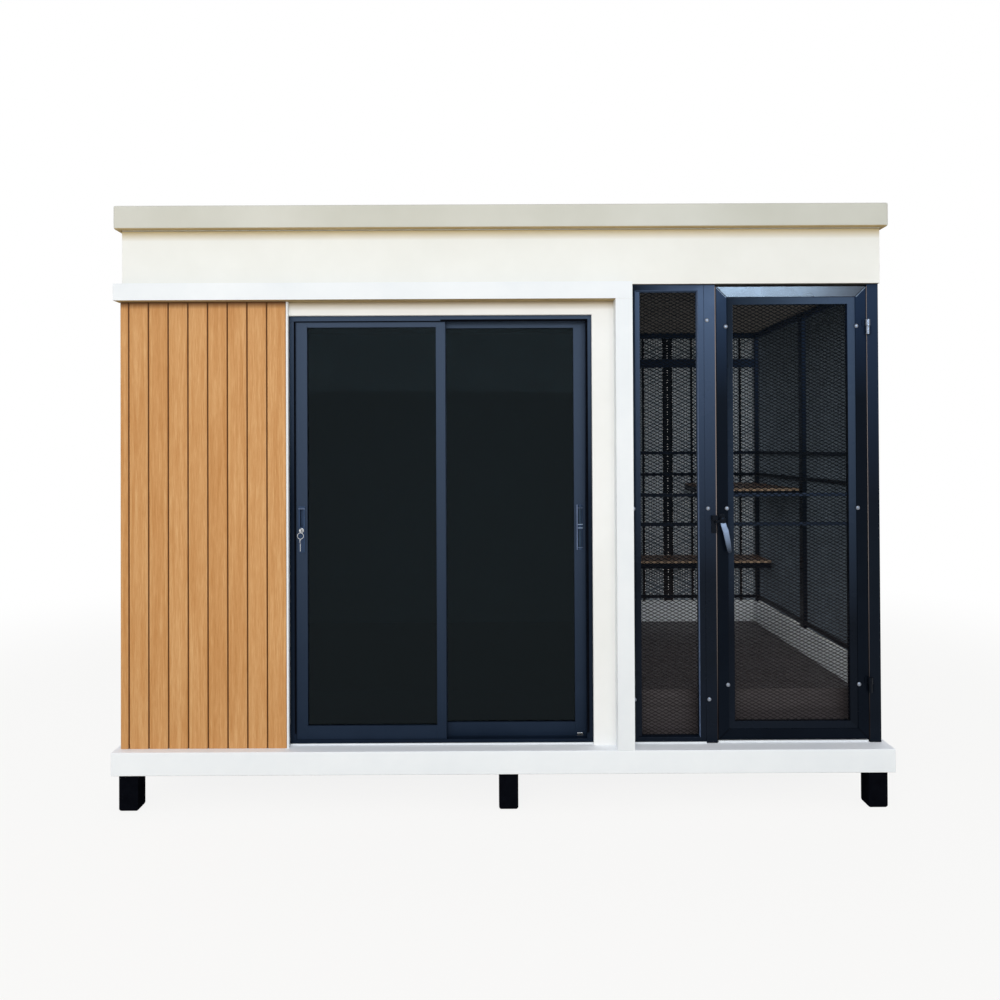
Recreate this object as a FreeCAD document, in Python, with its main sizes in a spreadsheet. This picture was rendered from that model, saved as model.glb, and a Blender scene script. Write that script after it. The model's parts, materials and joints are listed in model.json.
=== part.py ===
import FreeCAD, Part
import math
import os
from types import SimpleNamespace

import Sketcher

# A flat-roofed pet house: a closed room with a sliding glass door at the left, and an
# expanded-metal run with a hinged mesh door at the right. Millimetres, +Z up, front towards -Y,
# origin on the ground below the middle of the plinth.

SIZES = {
    # Walls
    "wall_depth": 1500,
    "wall_thickness": 60,
    "upper_panel_height": 218,
    "ceiling_thickness": 12,
    # Feet, plinth and floor
    "front_ledge": 60,
    "rear_ledge": 20,
    "side_ledge": 20,
    "foot_width": 75,
    "foot_height": 142,
    "foot_inset": 25,
    "foot_setback": 15,
    "foot_chamfer": 6,
    "middle_foot_offset": 20,
    "plinth_height": 91,
    "plinth_front_width": 160,
    "plinth_side_width": 130,
    "beam_width": 50,
    "floor_rise": 187,
    "deck_thickness": 18,
    "riser_gap": 18,
    # Roof
    "fascia_height": 94,
    "fascia_front_overhang": 35,
    "fascia_side_overhang": 20,
    "roof_front_height": 80,
    "roof_fall": 20,
    # Surround of the sliding door and the cladding beside it
    "band_height": 66,
    "band_width": 66,
    "band_depth": 60,
    "band_end_overhang": 10,
    "reveal_width": 86,
    "reveal_height": 53,
    "cladding_width": 654,
    "cladding_strip": 34,
    "plank_count": 8,
    "plank_thickness": 18,
    "plank_bevel": 4,
    # Sliding door frame
    "door_width": 1200,
    "door_height": 1700,
    "door_gap": 4,
    "door_setback": 18,
    "frame_depth": 76,
    "frame_face": 24,
    "frame_base": 8,
    "frame_lip": 4,
    "sill_base": 6,
    "sill_lip_height": 20,
    "track_width": 3,
    "track_height": 8,
    # Sashes
    "sash_thickness": 28,
    "sash_side_clearance": 2,
    "sash_top_clearance": 4,
    "sash_overlap": 36,
    "lock_stile_width": 58,
    "meeting_stile_width": 37,
    "top_rail_height": 32,
    "bottom_rail_height": 65,
    "glass_thickness": 5,
    "groove_width": 6,
    "groove_depth": 12,
    "glass_edge_gap": 0.5,
    # Rollers
    "roller_radius": 14,
    "roller_width": 8,
    "roller_slot_width": 12,
    "roller_slot_height": 36,
    "roller_inset": 70,
    "roller_gap": 0.3,
    "axle_radius": 3,
    "axle_length": 24,
    "running_clearance": 0.05,
    # Flush pulls, lock and keys
    "pull_height": 853,
    "pull_plate_width": 27,
    "pull_plate_length": 184,
    "pull_plate_thickness": 2.5,
    "pull_cup_width": 17,
    "pull_cup_depth": 12,
    "pull_cup_wall": 2,
    "pull_end_margin": 9,
    "pull_bar": 20,
    "lock_radius": 9.5,
    "lock_clearance": 0.3,
    "lock_drop": 4,
    "lock_rise": 6,
    "key_thickness": 2,
    "key_bow_radius": 11,
    "key_bow_hole_radius": 4,
    "key_neck_length": 6,
    "key_neck_width": 8,
    "key_slot_clearance": 0.2,
    "key_blade_length": 30,
    "ring_radius": 12,
    "ring_wire": 1.8,
    "ring_clearance": 0.4,
    # Posts, mullion and fixed panel of the run
    "fixed_panel_width": 296,
    "post_size": 45,
    "post_wall": 2.5,
    "fixed_bar_width": 27,
    "fixed_bar_depth": 30,
    "fixed_bevel_width": 4,
    "fixed_bevel_depth": 6,
    # Mesh door
    "mesh_door_width": 596,
    "mesh_door_clearance": 4,
    "mesh_door_bottom_gap": 13,
    "mesh_door_top_gap": 8,
    "door_bar_width": 69,
    "door_bar_depth": 36,
    "door_bar_face": 42,
    "door_bar_step": 5,
    "door_bar_inner": 12,
    "cross_bar_height": 14,
    "cross_bar_thickness": 6,
    "cross_bar_upper_height": 981,
    "cross_bar_lower_height": 864,
    # Expanded metal: strand grid is drawn coarser than the real 29 by 14 mm diamonds
    "mesh_setback": 22,
    "mesh_thickness": 3,
    "mesh_border": 8,
    "mesh_strand": 9,
    "front_diamond_long": 128,
    "front_diamond_short": 64,
    "run_diamond_long": 232,
    "run_diamond_short": 116,
    # Lift-off bullet hinges
    "hinge_axis_stand": 10,
    "hinge_radius": 9.5,
    "hinge_post_radius": 7.5,
    "hinge_door_length": 25,
    "hinge_post_length": 33,
    "hinge_gap": 0.4,
    "hinge_pin_radius": 4,
    "hinge_pin_length": 18,
    "hinge_tab_width": 18,
    "hinge_tab_thickness": 4,
    "hinge_upper_drop": 168,
    "hinge_lower_height": 233,
    # Cockspur handle and its keeper
    "handle_inset": 18,
    "handle_height": 884,
    "handle_plate_width": 22,
    "handle_plate_length": 46,
    "handle_plate_thickness": 4,
    "spindle_radius": 5,
    "hub_radius": 12,
    "hub_length": 12,
    "hub_gap": 0.3,
    "lever_length": 130,
    "lever_lean": 10,
    "nose_length": 32,
    "nose_height": 8,
    "nose_thickness": 8,
    "nose_release": 20,
    "keeper_width": 21,
    "keeper_drop": 53,
    "keeper_thickness": 3,
    "keeper_lip_reach": 4,
    "keeper_lip_thickness": 4.5,
    "keeper_lip_gap": 2.5,
    "keeper_arm_height": 8,
    "keeper_hook_clearance": 6,
    # Screws
    "screw_head_radius": 8.5,
    "screw_head_height": 4.5,
    "door_screw_inset": 38,
    "door_screw_low_height": 230,
    "door_screw_drop": 167,
    "frame_screw_low_height": 173,
    "frame_screw_drop": 142,
    "mullion_screw_inset": 12,
    "middle_screw_rise": 45,
    # Side and rear walls of the run
    "rail_thickness": 16,
    "rail_inset": 3,
    "skirting_height": 113,
    "skirting_thickness": 18,
    "kick_thickness": 25,
    "kick_inset": 10,
    "thick_rail_height": 48,
    "thin_rail_height": 16,
    "top_bar_height": 30,
    "thick_rail_drop": 196,
    "upper_rail_rise": 944,
    "lower_rail_rise": 822,
    "bottom_rail_rise": 129,
    "upright_width": 14,
    "upright_spacing": 138,
    "upright_end_gap": 81,
    "upright_pair_half": 14.5,
    "mid_post_share": 0.48,
    # Shelves
    "shelf_thickness": 12,
    "shelf_frame_size": 28,
    "low_shelf_depth": 257,
    "low_shelf_rise": 374,
    "high_shelf_width": 400,
    "high_shelf_rise": 782,
}

RIGHT = FreeCAD.Vector(1, 0, 0)
BACK = FreeCAD.Vector(0, 1, 0)
UP = FreeCAD.Vector(0, 0, 1)
ORIGIN = FreeCAD.Vector(0, 0, 0)

doc = FreeCAD.newDocument("pet_house")
sheet = doc.addObject("Spreadsheet::Sheet", "Sizes")
for row, (alias, number) in enumerate(SIZES.items(), start=1):
    sheet.set(f"A{row}", alias)
    sheet.set(f"B{row}", str(number))
    sheet.setAlias(f"B{row}", alias)
doc.recompute()


class Size:
    """A length: its expression in cells of the sheet, and its value for the code's own use."""

    def __init__(self, text, value):
        self.text = text
        self.value = value

    def __add__(self, other):
        other = as_size(other)
        return Size(f"({self.text} + {other.text})", self.value + other.value)

    def __sub__(self, other):
        other = as_size(other)
        return Size(f"({self.text} - {other.text})", self.value - other.value)

    def __mul__(self, factor):
        factor = as_size(factor)
        return Size(f"({self.text} * {factor.text})", self.value * factor.value)

    def __truediv__(self, divisor):
        divisor = as_size(divisor)
        return Size(f"({self.text} / {divisor.text})", self.value / divisor.value)

    def __neg__(self):
        return Size(f"(0 - {self.text})", -self.value)


def as_size(number):
    """A plain number, or a Size as it is."""
    if isinstance(number, Size):
        return number
    return Size(str(number), number)


size = SimpleNamespace(**{alias: Size("Sizes." + alias, sheet.get(alias)) for alias in SIZES})
zero = as_size(0)
nodes = []


def node(label, *items):
    """One named sub-part: a single solid, or a group of separate solids."""
    item = items[0]
    if len(items) > 1:
        item = doc.addObject("Part::Compound", label + "_group")
        item.Links = list(items)
    item.Label = label
    nodes.append(item)


def place(item, x, y, z):
    """Bind an object's position to three sizes."""
    for axis, offset in zip("xyz", (x, y, z)):
        item.setExpression("Placement.Base." + axis, offset.text)


def block(name, x, y, z):
    """A straight board or bar; each of x, y and z is its pair of end places."""
    item = doc.addObject("Part::Box", name)
    for side, (start, end) in zip(("Length", "Width", "Height"), (x, y, z)):
        item.setExpression(side, (end - start).text)
    place(item, x[0], y[0], z[0])
    return item


def tube(name, x, y, z):
    """An upright square tube, open at both ends."""
    wall = size.post_wall
    bore = block(name + "_bore", (x[0] + wall, x[1] - wall), (y[0] + wall, y[1] - wall), z)
    return cut(name, block(name + "_outside", x, y, z), bore)


def rod(name, radius, length, x, y, z, axis=UP):
    """A round bar that starts at a point and runs along an axis."""
    item = doc.addObject("Part::Cylinder", name)
    item.Placement = FreeCAD.Placement(ORIGIN, FreeCAD.Rotation(UP, axis))
    item.setExpression("Radius", radius.text)
    item.setExpression("Height", length.text)
    place(item, x, y, z)
    return item


def cut(name, base, *tools):
    """A piece with other shapes taken out of it."""
    for number, tool in enumerate(tools, start=1):
        step = doc.addObject("Part::Cut", f"{name}_cut_{number}")
        step.Base = base
        step.Tool = tool
        base = step
    return base


def fuse(name, *items):
    """Several shapes as one solid piece."""
    whole = doc.addObject("Part::MultiFuse", name)
    whole.Shapes = list(items)
    return whole


def extrusion(name, plane, outline, length, start=zero, reverse=False):
    """A profile bar: a sketched outline on an origin plane, padded to a length."""
    body = doc.addObject("PartDesign::Body", name)
    sketch = body.newObject("Sketcher::SketchObject", name + "_outline")
    support = [feature for feature in body.Origin.OriginFeatures if feature.Role == plane][0]
    sketch.AttachmentSupport = [(support, "")]
    sketch.MapMode = "FlatFace"
    corners = [FreeCAD.Vector(across.value, up.value, 0) for across, up in outline]
    count = len(corners)
    for index in range(count):
        sketch.addGeometry(Part.LineSegment(corners[index], corners[(index + 1) % count]))
    for index in range(count):
        sketch.addConstraint(Sketcher.Constraint("Coincident", index, 2, (index + 1) % count, 1))
    for index, corner in enumerate(outline):
        for kind, offset in zip(("DistanceX", "DistanceY"), corner):
            number = sketch.addConstraint(Sketcher.Constraint(kind, -1, 1, index, 1, offset.value))
            sketch.setExpression(f"Constraints[{number}]", offset.text)
    pad = body.newObject("PartDesign::Pad", name + "_pad")
    pad.Profile = sketch
    pad.Reversed = reverse
    pad.setExpression("Length", length.text)
    axis = {"XY_Plane": "z", "XZ_Plane": "y", "YZ_Plane": "x"}[plane]
    body.setExpression("Placement.Base." + axis, start.text)
    return body


def shaped(name, shape):
    """A piece whose shape is worked out in code from the sheet's values."""
    item = doc.addObject("Part::Feature", name)
    item.Shape = shape
    return item


# Main places: outline, levels and planes
surround_width = size.door_gap + size.door_width + size.reveal_width + size.band_width
room_front = size.cladding_width + surround_width
door_bay = size.mesh_door_width + size.mesh_door_clearance * 2
run_front = size.fixed_panel_width + size.post_size + door_bay + size.post_size
wall_width = room_front + run_front
x_wall = wall_width / 2
x_plinth = x_wall + size.side_ledge
x_inner = x_wall - size.wall_thickness
y_plinth_front = -(size.wall_depth + size.front_ledge + size.rear_ledge) / 2
y_plinth_rear = -y_plinth_front
y_wall_front = y_plinth_front + size.front_ledge
y_wall_back = y_wall_front + size.wall_thickness
y_wall_rear = y_plinth_rear - size.rear_ledge
y_rear_inner = y_wall_rear - size.wall_thickness
z_plinth = size.foot_height
z_ledge = z_plinth + size.plinth_height
z_floor = z_ledge + size.floor_rise
z_deck = z_floor - size.deck_thickness
z_door_top = z_ledge + size.door_height
z_band = z_door_top + size.reveal_height
z_panel = z_band + size.band_height
z_roof = z_panel + size.upper_panel_height
z_top = z_roof + size.fascia_height

# Places along the front, from left to right
x_cladding = size.cladding_width - x_wall
x_frame_left = x_cladding + size.door_gap
x_frame_right = x_frame_left + size.door_width
x_band = x_frame_right + size.reveal_width
x_run = x_band + size.band_width
x_partition = x_run - size.wall_thickness
x_post = x_wall - size.post_size
x_door_right = x_post - size.mesh_door_clearance
x_door_left = x_door_right - size.mesh_door_width
x_mullion = x_run + size.fixed_panel_width
x_mullion_right = x_mullion + size.post_size

# Depths of the door planes
y_frame = y_wall_front + size.door_setback
y_frame_back = y_frame + size.frame_depth
y_riser = y_frame_back + size.riser_gap
y_deck = y_riser + size.deck_thickness
y_post_back = y_frame + size.post_size
y_rear_post = y_wall_rear - size.post_size
y_side_plinth = y_plinth_front + size.plinth_front_width
y_rear_plinth = y_plinth_rear - size.plinth_side_width

# Feet under the front and rear plinth beams
foot_columns = (
    size.foot_inset - x_plinth,
    size.middle_foot_offset - size.foot_width / 2,
    x_plinth - size.foot_inset - size.foot_width,
)
foot_rows = (y_plinth_front + size.foot_setback, y_plinth_rear - size.foot_setback - size.foot_width)
feet = []
for x_foot in foot_columns:
    for y_foot in foot_rows:
        number = len(feet) + 1
        post = block(
            f"foot_post_{number}",
            (x_foot, x_foot + size.foot_width),
            (y_foot, y_foot + size.foot_width),
            (zero, size.foot_height),
        )
        doc.recompute()
        foot = doc.addObject("Part::Chamfer", f"foot_{number}")
        foot.Base = post
        bottom_edges = [
            index
            for index, edge in enumerate(post.Shape.Edges, start=1)
            if edge.BoundBox.ZMax < size.foot_chamfer.value
        ]
        foot.Edges = [(index, size.foot_chamfer.value, size.foot_chamfer.value) for index in bottom_edges]
        feet.append(foot)
node("feet", *feet)

# Plinth beams: the front one also carries the door sill
plinth_level = (z_plinth, z_ledge)
side_run = (y_side_plinth, y_rear_plinth)
node(
    "plinth",
    block("plinth_front", (-x_plinth, x_plinth), (y_plinth_front, y_side_plinth), plinth_level),
    block("plinth_rear", (-x_plinth, x_plinth), (y_rear_plinth, y_plinth_rear), plinth_level),
    block("plinth_left", (-x_plinth, size.plinth_side_width - x_plinth), side_run, plinth_level),
    block("plinth_right", (x_plinth - size.plinth_side_width, x_plinth), side_run, plinth_level),
)

# Base beams between the plinth beams: two under the room, one under the partition, one under the run
room_width = x_partition + x_inner
room_third = room_width / 3
beam_half = size.beam_width / 2
beam_centres = (
    room_third - x_inner,
    room_third * 2 - x_inner,
    (x_partition + x_run) / 2,
    (x_run + x_inner) / 2,
)
node(
    "base_beams",
    *[
        block(f"base_beam_{number}", (centre - beam_half, centre + beam_half), side_run, plinth_level)
        for number, centre in enumerate(beam_centres, start=1)
    ],
)

# Joists on the beams and along the walls, the deck on them and the riser in front
joist_starts = (
    -x_inner,
    beam_centres[0] - beam_half,
    beam_centres[1] - beam_half,
    x_partition - size.beam_width,
    x_run,
    beam_centres[3] - beam_half,
    x_inner - size.beam_width,
)
deck_run = (y_deck, y_rear_inner)
node(
    "deck_joists",
    *[
        block(f"deck_joist_{number}", (start, start + size.beam_width), deck_run, (z_ledge, z_deck))
        for number, start in enumerate(joist_starts, start=1)
    ],
)
floor_bays = {"room": (-x_inner, x_partition), "run": (x_run, x_inner)}
node(
    "floor_deck",
    *[block(f"{bay}_deck", ends, deck_run, (z_deck, z_floor)) for bay, ends in floor_bays.items()],
)
node(
    "floor_riser",
    *[block(f"{bay}_riser", ends, (y_riser, y_deck), (z_ledge, z_floor)) for bay, ends in floor_bays.items()],
)

# Walls of the room
front_layer = (y_wall_front, y_wall_back)
node("left_wall", block("left_wall", (-x_wall, -x_inner), (y_wall_back, y_wall_rear), (z_ledge, z_roof)))
node("rear_wall", block("rear_wall", (-x_inner, x_run), (y_rear_inner, y_wall_rear), (z_ledge, z_roof)))
node(
    "partition_wall",
    block("partition_wall", (x_partition, x_run), (y_wall_back, y_rear_inner), (z_ledge, z_panel)),
)
node(
    "front_wall_panels",
    block("front_panel_left", (-x_wall, x_cladding), front_layer, (z_ledge, z_panel)),
    block("front_panel_head", (x_cladding, x_run), front_layer, (z_door_top, z_panel)),
    block("front_panel_right", (x_frame_right, x_run), front_layer, (z_ledge, z_door_top)),
)
node(
    "upper_panels",
    block("upper_front", (-x_wall, x_wall), front_layer, (z_panel, z_roof)),
    block("upper_right", (x_inner, x_wall), (y_wall_back, y_wall_rear), (z_panel, z_roof)),
    block("upper_rear", (x_run, x_inner), (y_rear_inner, y_wall_rear), (z_panel, z_roof)),
)

# The projecting surround: a header across the room and a side band down to the ledge
band_layer = (y_wall_front - size.band_depth, y_wall_front)
node(
    "header_band",
    block("header_band", (-x_wall - size.band_end_overhang, x_run), band_layer, (z_band, z_panel)),
)
node("side_band", block("side_band", (x_band, x_run), band_layer, (z_ledge, z_band)))

# Cladding: one narrow strip, then planks with bevelled long edges that make V-grooves
y_plank = y_wall_front - size.plank_thickness
plank_width = (size.cladding_width - size.cladding_strip) / size.plank_count
x_planks = size.cladding_strip - x_wall
plank_ends = [(-x_wall, x_planks)]
for number in range(round(size.plank_count.value)):
    plank_ends.append((x_planks + plank_width * number, x_planks + plank_width * (number + 1)))
planks = []
for number, (start, end) in enumerate(plank_ends, start=1):
    outline = (
        (start, y_wall_front),
        (start, y_plank + size.plank_bevel),
        (start + size.plank_bevel, y_plank),
        (end - size.plank_bevel, y_plank),
        (end, y_plank + size.plank_bevel),
        (end, y_wall_front),
    )
    planks.append(extrusion(f"plank_{number}", "XY_Plane", outline, z_band - z_ledge, z_ledge))
node("cladding_planks", *planks)

# Roof: a panel that falls to the rear on the wall tops, inside a raised fascia
roof_outline = (
    (y_wall_front, z_roof),
    (y_wall_rear, z_roof),
    (y_wall_rear, z_roof + size.roof_front_height - size.roof_fall),
    (y_wall_front, z_roof + size.roof_front_height),
)
node("roof_panel", extrusion("roof_panel", "YZ_Plane", roof_outline, wall_width, -x_wall))
x_fascia = x_wall + size.fascia_side_overhang
y_fascia_front = y_wall_front - size.fascia_front_overhang
y_fascia_rear = y_wall_rear + size.fascia_side_overhang
fascia_level = (z_roof, z_top)
wall_run = (y_wall_front, y_wall_rear)
node(
    "roof_fascia",
    block("fascia_front", (-x_fascia, x_fascia), (y_fascia_front, y_wall_front), fascia_level),
    block("fascia_rear", (-x_fascia, x_fascia), (y_wall_rear, y_fascia_rear), fascia_level),
    block("fascia_left", (-x_fascia, -x_wall), wall_run, fascia_level),
    block("fascia_right", (x_wall, x_fascia), wall_run, fascia_level),
)
node(
    "ceiling_panel",
    block(
        "ceiling_panel",
        (-x_inner, x_inner),
        (y_wall_back, y_rear_inner),
        (z_panel, z_panel + size.ceiling_thickness),
    ),
)

# Sliding door frame: an E-shaped section with an outer and an inner channel
channel = (size.frame_depth - size.frame_lip * 3) / 2
lip_back = size.frame_lip
rib_front = lip_back + channel
rib_back = rib_front + size.frame_lip
last_lip = size.frame_depth - size.frame_lip


def channel_section(base, lip):
    """The E-section as depth and height pairs, from the front lip round to the rear one."""
    return [
        (zero, zero),
        (zero, lip),
        (lip_back, lip),
        (lip_back, base),
        (rib_front, base),
        (rib_front, lip),
        (rib_back, lip),
        (rib_back, base),
        (last_lip, base),
        (last_lip, lip),
        (size.frame_depth, lip),
        (size.frame_depth, zero),
    ]


def with_track(section, channel_start, base):
    """The section with a raised roller track in the middle of one channel."""
    track_start = channel_start + (channel - size.track_width) / 2
    track_end = track_start + size.track_width
    track_top = base + size.track_height
    index = [point[0] for point in section].index(channel_start) + 1
    while section[index][1] is not base:
        index += 1
    track = [(track_start, base), (track_start, track_top), (track_end, track_top), (track_end, base)]
    return section[: index + 1] + track + section[index + 1 :]


head_section = channel_section(size.frame_base, size.frame_face)
head_outline = [(y_frame + depth, z_door_top - height) for depth, height in head_section]
node(
    "sliding_frame_head",
    extrusion("sliding_frame_head", "YZ_Plane", head_outline, size.door_width, x_frame_left),
)
sill_section = channel_section(size.sill_base, size.sill_lip_height)
sill_section = with_track(sill_section, rib_back, size.sill_base)
sill_section = with_track(sill_section, lip_back, size.sill_base)
sill_outline = [(y_frame + depth, z_ledge + height) for depth, height in sill_section]
node(
    "sliding_frame_sill",
    extrusion("sliding_frame_sill", "YZ_Plane", sill_outline, size.door_width, x_frame_left),
)
z_jamb = z_ledge + size.sill_lip_height
jamb_height = size.door_height - size.sill_lip_height - size.frame_face
left_outline = [(x_frame_left + height, y_frame + depth) for depth, height in head_section]
right_outline = [(x_frame_right - height, y_frame + depth) for depth, height in head_section]
node(
    "sliding_frame_jambs",
    extrusion("jamb_left", "XY_Plane", left_outline, jamb_height, z_jamb),
    extrusion("jamb_right", "XY_Plane", right_outline, jamb_height, z_jamb),
)

# Sashes: the left one runs in the outer channel, the right one in the inner channel
z_sash = z_ledge + size.sill_base + size.sash_side_clearance
z_stile = z_sash + size.track_height
z_sash_top = z_door_top - size.frame_base - size.sash_top_clearance
x_sash_left = x_frame_left + size.frame_base + size.sash_side_clearance
x_sash_right = x_frame_right - size.frame_base - size.sash_side_clearance
sash_width = (x_sash_right - x_sash_left + size.sash_overlap) / 2
sash_margin = (channel - size.sash_thickness) / 2
groove_margin = (size.sash_thickness - size.groove_width) / 2
slot_margin = (size.sash_thickness - size.roller_slot_width) / 2
z_axle = z_ledge + size.sill_base + size.track_height + size.roller_radius + size.roller_gap
pull_half = size.pull_plate_length / 2
z_pull = z_floor - size.floor_rise + size.pull_height
cup_half = size.pull_cup_width / 2


def stile(name, x_outer, x_glass, y_front):
    """An upright of a sash, with a groove for the glass in its inner edge."""
    y_back = y_front + size.sash_thickness
    groove_end = x_glass - size.groove_depth
    if x_glass.value < x_outer.value:
        groove_end = x_glass + size.groove_depth
    outline = (
        (x_outer, y_front),
        (x_glass, y_front),
        (x_glass, y_front + groove_margin),
        (groove_end, y_front + groove_margin),
        (groove_end, y_back - groove_margin),
        (x_glass, y_back - groove_margin),
        (x_glass, y_back),
        (x_outer, y_back),
    )
    return extrusion(name, "XY_Plane", outline, z_sash_top - z_stile, z_stile)


def top_rail(name, x_start, x_end, y_front):
    """The upper rail of a sash, grooved on its underside."""
    y_back = y_front + size.sash_thickness
    z_rail = z_sash_top - size.top_rail_height
    z_groove = z_rail + size.groove_depth
    outline = (
        (y_front, z_rail),
        (y_front + groove_margin, z_rail),
        (y_front + groove_margin, z_groove),
        (y_back - groove_margin, z_groove),
        (y_back - groove_margin, z_rail),
        (y_back, z_rail),
        (y_back, z_sash_top),
        (y_front, z_sash_top),
    )
    return extrusion(name, "YZ_Plane", outline, x_end - x_start, x_start)


def bottom_rail(name, x_start, x_end, y_front, axle_places):
    """The lower rail: grooved on top for the glass, slotted below for the rollers and the track."""
    y_back = y_front + size.sash_thickness
    z_rail = z_sash + size.bottom_rail_height
    z_groove = z_rail - size.groove_depth
    z_slot = z_sash + size.roller_slot_height
    outline = (
        (y_front, z_sash),
        (y_front + slot_margin, z_sash),
        (y_front + slot_margin, z_slot),
        (y_back - slot_margin, z_slot),
        (y_back - slot_margin, z_sash),
        (y_back, z_sash),
        (y_back, z_rail),
        (y_back - groove_margin, z_rail),
        (y_back - groove_margin, z_groove),
        (y_front + groove_margin, z_groove),
        (y_front + groove_margin, z_rail),
        (y_front, z_rail),
    )
    rail = extrusion(name, "YZ_Plane", outline, x_end - x_start, x_start)
    hole_length = size.axle_length + size.running_clearance * 2
    y_hole = y_front + (size.sash_thickness - hole_length) / 2
    hole_radius = size.axle_radius + size.running_clearance
    holes = [
        rod(f"{name}_hole_{number}", hole_radius, hole_length, x, y_hole, z_axle, BACK)
        for number, x in enumerate(axle_places, start=1)
    ]
    return cut(name, rail, *holes)


def glass_pane(name, x_start, x_end, y_front):
    """The pane, standing in the grooves of the stiles and rails."""
    reach = size.groove_depth - size.glass_edge_gap
    y_pane = y_front + (size.sash_thickness - size.glass_thickness) / 2
    return block(
        name,
        (x_start - reach, x_end + reach),
        (y_pane, y_pane + size.glass_thickness),
        (z_sash + size.bottom_rail_height - reach, z_sash_top - size.top_rail_height + reach),
    )


def roller(name, x, y_front):
    """A sash roller with its axle."""
    y_wheel = y_front + (size.sash_thickness - size.roller_width) / 2
    y_axle = y_front + (size.sash_thickness - size.axle_length) / 2
    wheel = rod(name + "_wheel", size.roller_radius, size.roller_width, x, y_wheel, z_axle, BACK)
    axle = rod(name + "_axle", size.axle_radius, size.axle_length, x, y_axle, z_axle, BACK)
    return fuse(name, wheel, axle)


def cup_space(name, x_centre, y_front):
    """The block that a flush pull's cup fills behind the face of a stile."""
    z_half = pull_half - size.pull_end_margin
    return block(
        name,
        (x_centre - cup_half, x_centre + cup_half),
        (y_front, y_front + size.pull_cup_depth),
        (z_pull - z_half, z_pull + z_half),
    )


def flush_pull(name, x_centre, y_front, recesses):
    """A plate on the stile's face with a cup let into the stile, hollowed by finger recesses."""
    y_plate = y_front - size.pull_plate_thickness
    plate = block(
        name + "_plate",
        (x_centre - size.pull_plate_width / 2, x_centre + size.pull_plate_width / 2),
        (y_plate, y_front),
        (z_pull - pull_half, z_pull + pull_half),
    )
    body = fuse(name + "_body", plate, cup_space(name + "_cup", x_centre, y_front))
    half = cup_half - size.pull_cup_wall
    y_floor = y_front + size.pull_cup_depth - size.pull_cup_wall
    hollows = [
        block(f"{name}_recess_{number}", (x_centre - half, x_centre + half), (y_plate, y_floor), ends)
        for number, ends in enumerate(recesses, start=1)
    ]
    return body, hollows


y_left_sash = y_frame + size.frame_lip + sash_margin
y_right_sash = y_frame + rib_back + sash_margin
visible_edge = size.frame_face - size.frame_base - size.sash_side_clearance
z_recess_low = z_pull - pull_half + size.pull_end_margin + size.pull_cup_wall
z_recess_high = z_pull + pull_half - size.pull_end_margin - size.pull_cup_wall

# Left sash
x_left_glass = x_sash_left + size.lock_stile_width
x_left_meeting = x_sash_left + sash_width - size.meeting_stile_width
left_axles = (x_left_glass + size.roller_inset, x_left_meeting - size.roller_inset)
x_lock = x_sash_left + (size.lock_stile_width + visible_edge) / 2
left_stile = stile("left_lock_upright", x_sash_left, x_left_glass, y_left_sash)
left_cup = cup_space("left_cup_space", x_lock, y_left_sash)
node("left_lock_stile", cut("left_lock_stile", left_stile, left_cup))
x_left_edge = x_sash_left + sash_width
node("left_meeting_stile", stile("left_meeting_stile", x_left_edge, x_left_meeting, y_left_sash))
node(
    "left_sash_rails",
    top_rail("left_top_rail", x_left_glass, x_left_meeting, y_left_sash),
    bottom_rail("left_bottom_rail", x_left_glass, x_left_meeting, y_left_sash, left_axles),
)
node("left_glass", glass_pane("left_glass", x_left_glass, x_left_meeting, y_left_sash))
node("left_roller_outer", roller("left_roller_outer", left_axles[0], y_left_sash))
node("left_roller_inner", roller("left_roller_inner", left_axles[1], y_left_sash))

# Right sash
x_right_meeting = x_sash_right - sash_width + size.meeting_stile_width
x_right_glass = x_sash_right - size.lock_stile_width
right_axles = (x_right_meeting + size.roller_inset, x_right_glass - size.roller_inset)
x_pull = x_sash_right - (size.lock_stile_width + visible_edge) / 2
right_stile = stile("right_pull_upright", x_sash_right, x_right_glass, y_right_sash)
right_cup = cup_space("right_cup_space", x_pull, y_right_sash)
node("right_pull_stile", cut("right_pull_stile", right_stile, right_cup))
x_right_edge = x_sash_right - sash_width
node("right_meeting_stile", stile("right_meeting_stile", x_right_edge, x_right_meeting, y_right_sash))
node(
    "right_sash_rails",
    top_rail("right_top_rail", x_right_meeting, x_right_glass, y_right_sash),
    bottom_rail("right_bottom_rail", x_right_meeting, x_right_glass, y_right_sash, right_axles),
)
node("right_glass", glass_pane("right_glass", x_right_meeting, x_right_glass, y_right_sash))
node("right_roller_inner", roller("right_roller_inner", right_axles[0], y_right_sash))
node("right_roller_outer", roller("right_roller_outer", right_axles[1], y_right_sash))

# Flush pulls: one recess above the lock on the left sash, two recesses on the right sash
z_lock = z_pull - size.lock_drop
z_left_recess = z_lock + size.lock_radius + size.lock_clearance + size.pull_cup_wall * 2
left_pull, left_hollows = flush_pull("lock_plate", x_lock, y_left_sash, [(z_left_recess, z_recess_high)])
lock_hole = rod(
    "lock_hole",
    size.lock_radius + size.lock_clearance,
    size.pull_plate_thickness,
    x_lock,
    y_left_sash - size.pull_plate_thickness,
    z_lock,
    BACK,
)
node("lock_escutcheon", cut("lock_escutcheon", left_pull, *left_hollows, lock_hole))
right_recesses = [(z_recess_low, z_pull - size.pull_bar / 2), (z_pull + size.pull_bar / 2, z_recess_high)]
right_pull, right_hollows = flush_pull("right_pull", x_pull, y_right_sash, right_recesses)
node("right_flush_pull", cut("right_flush_pull", right_pull, *right_hollows))

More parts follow.
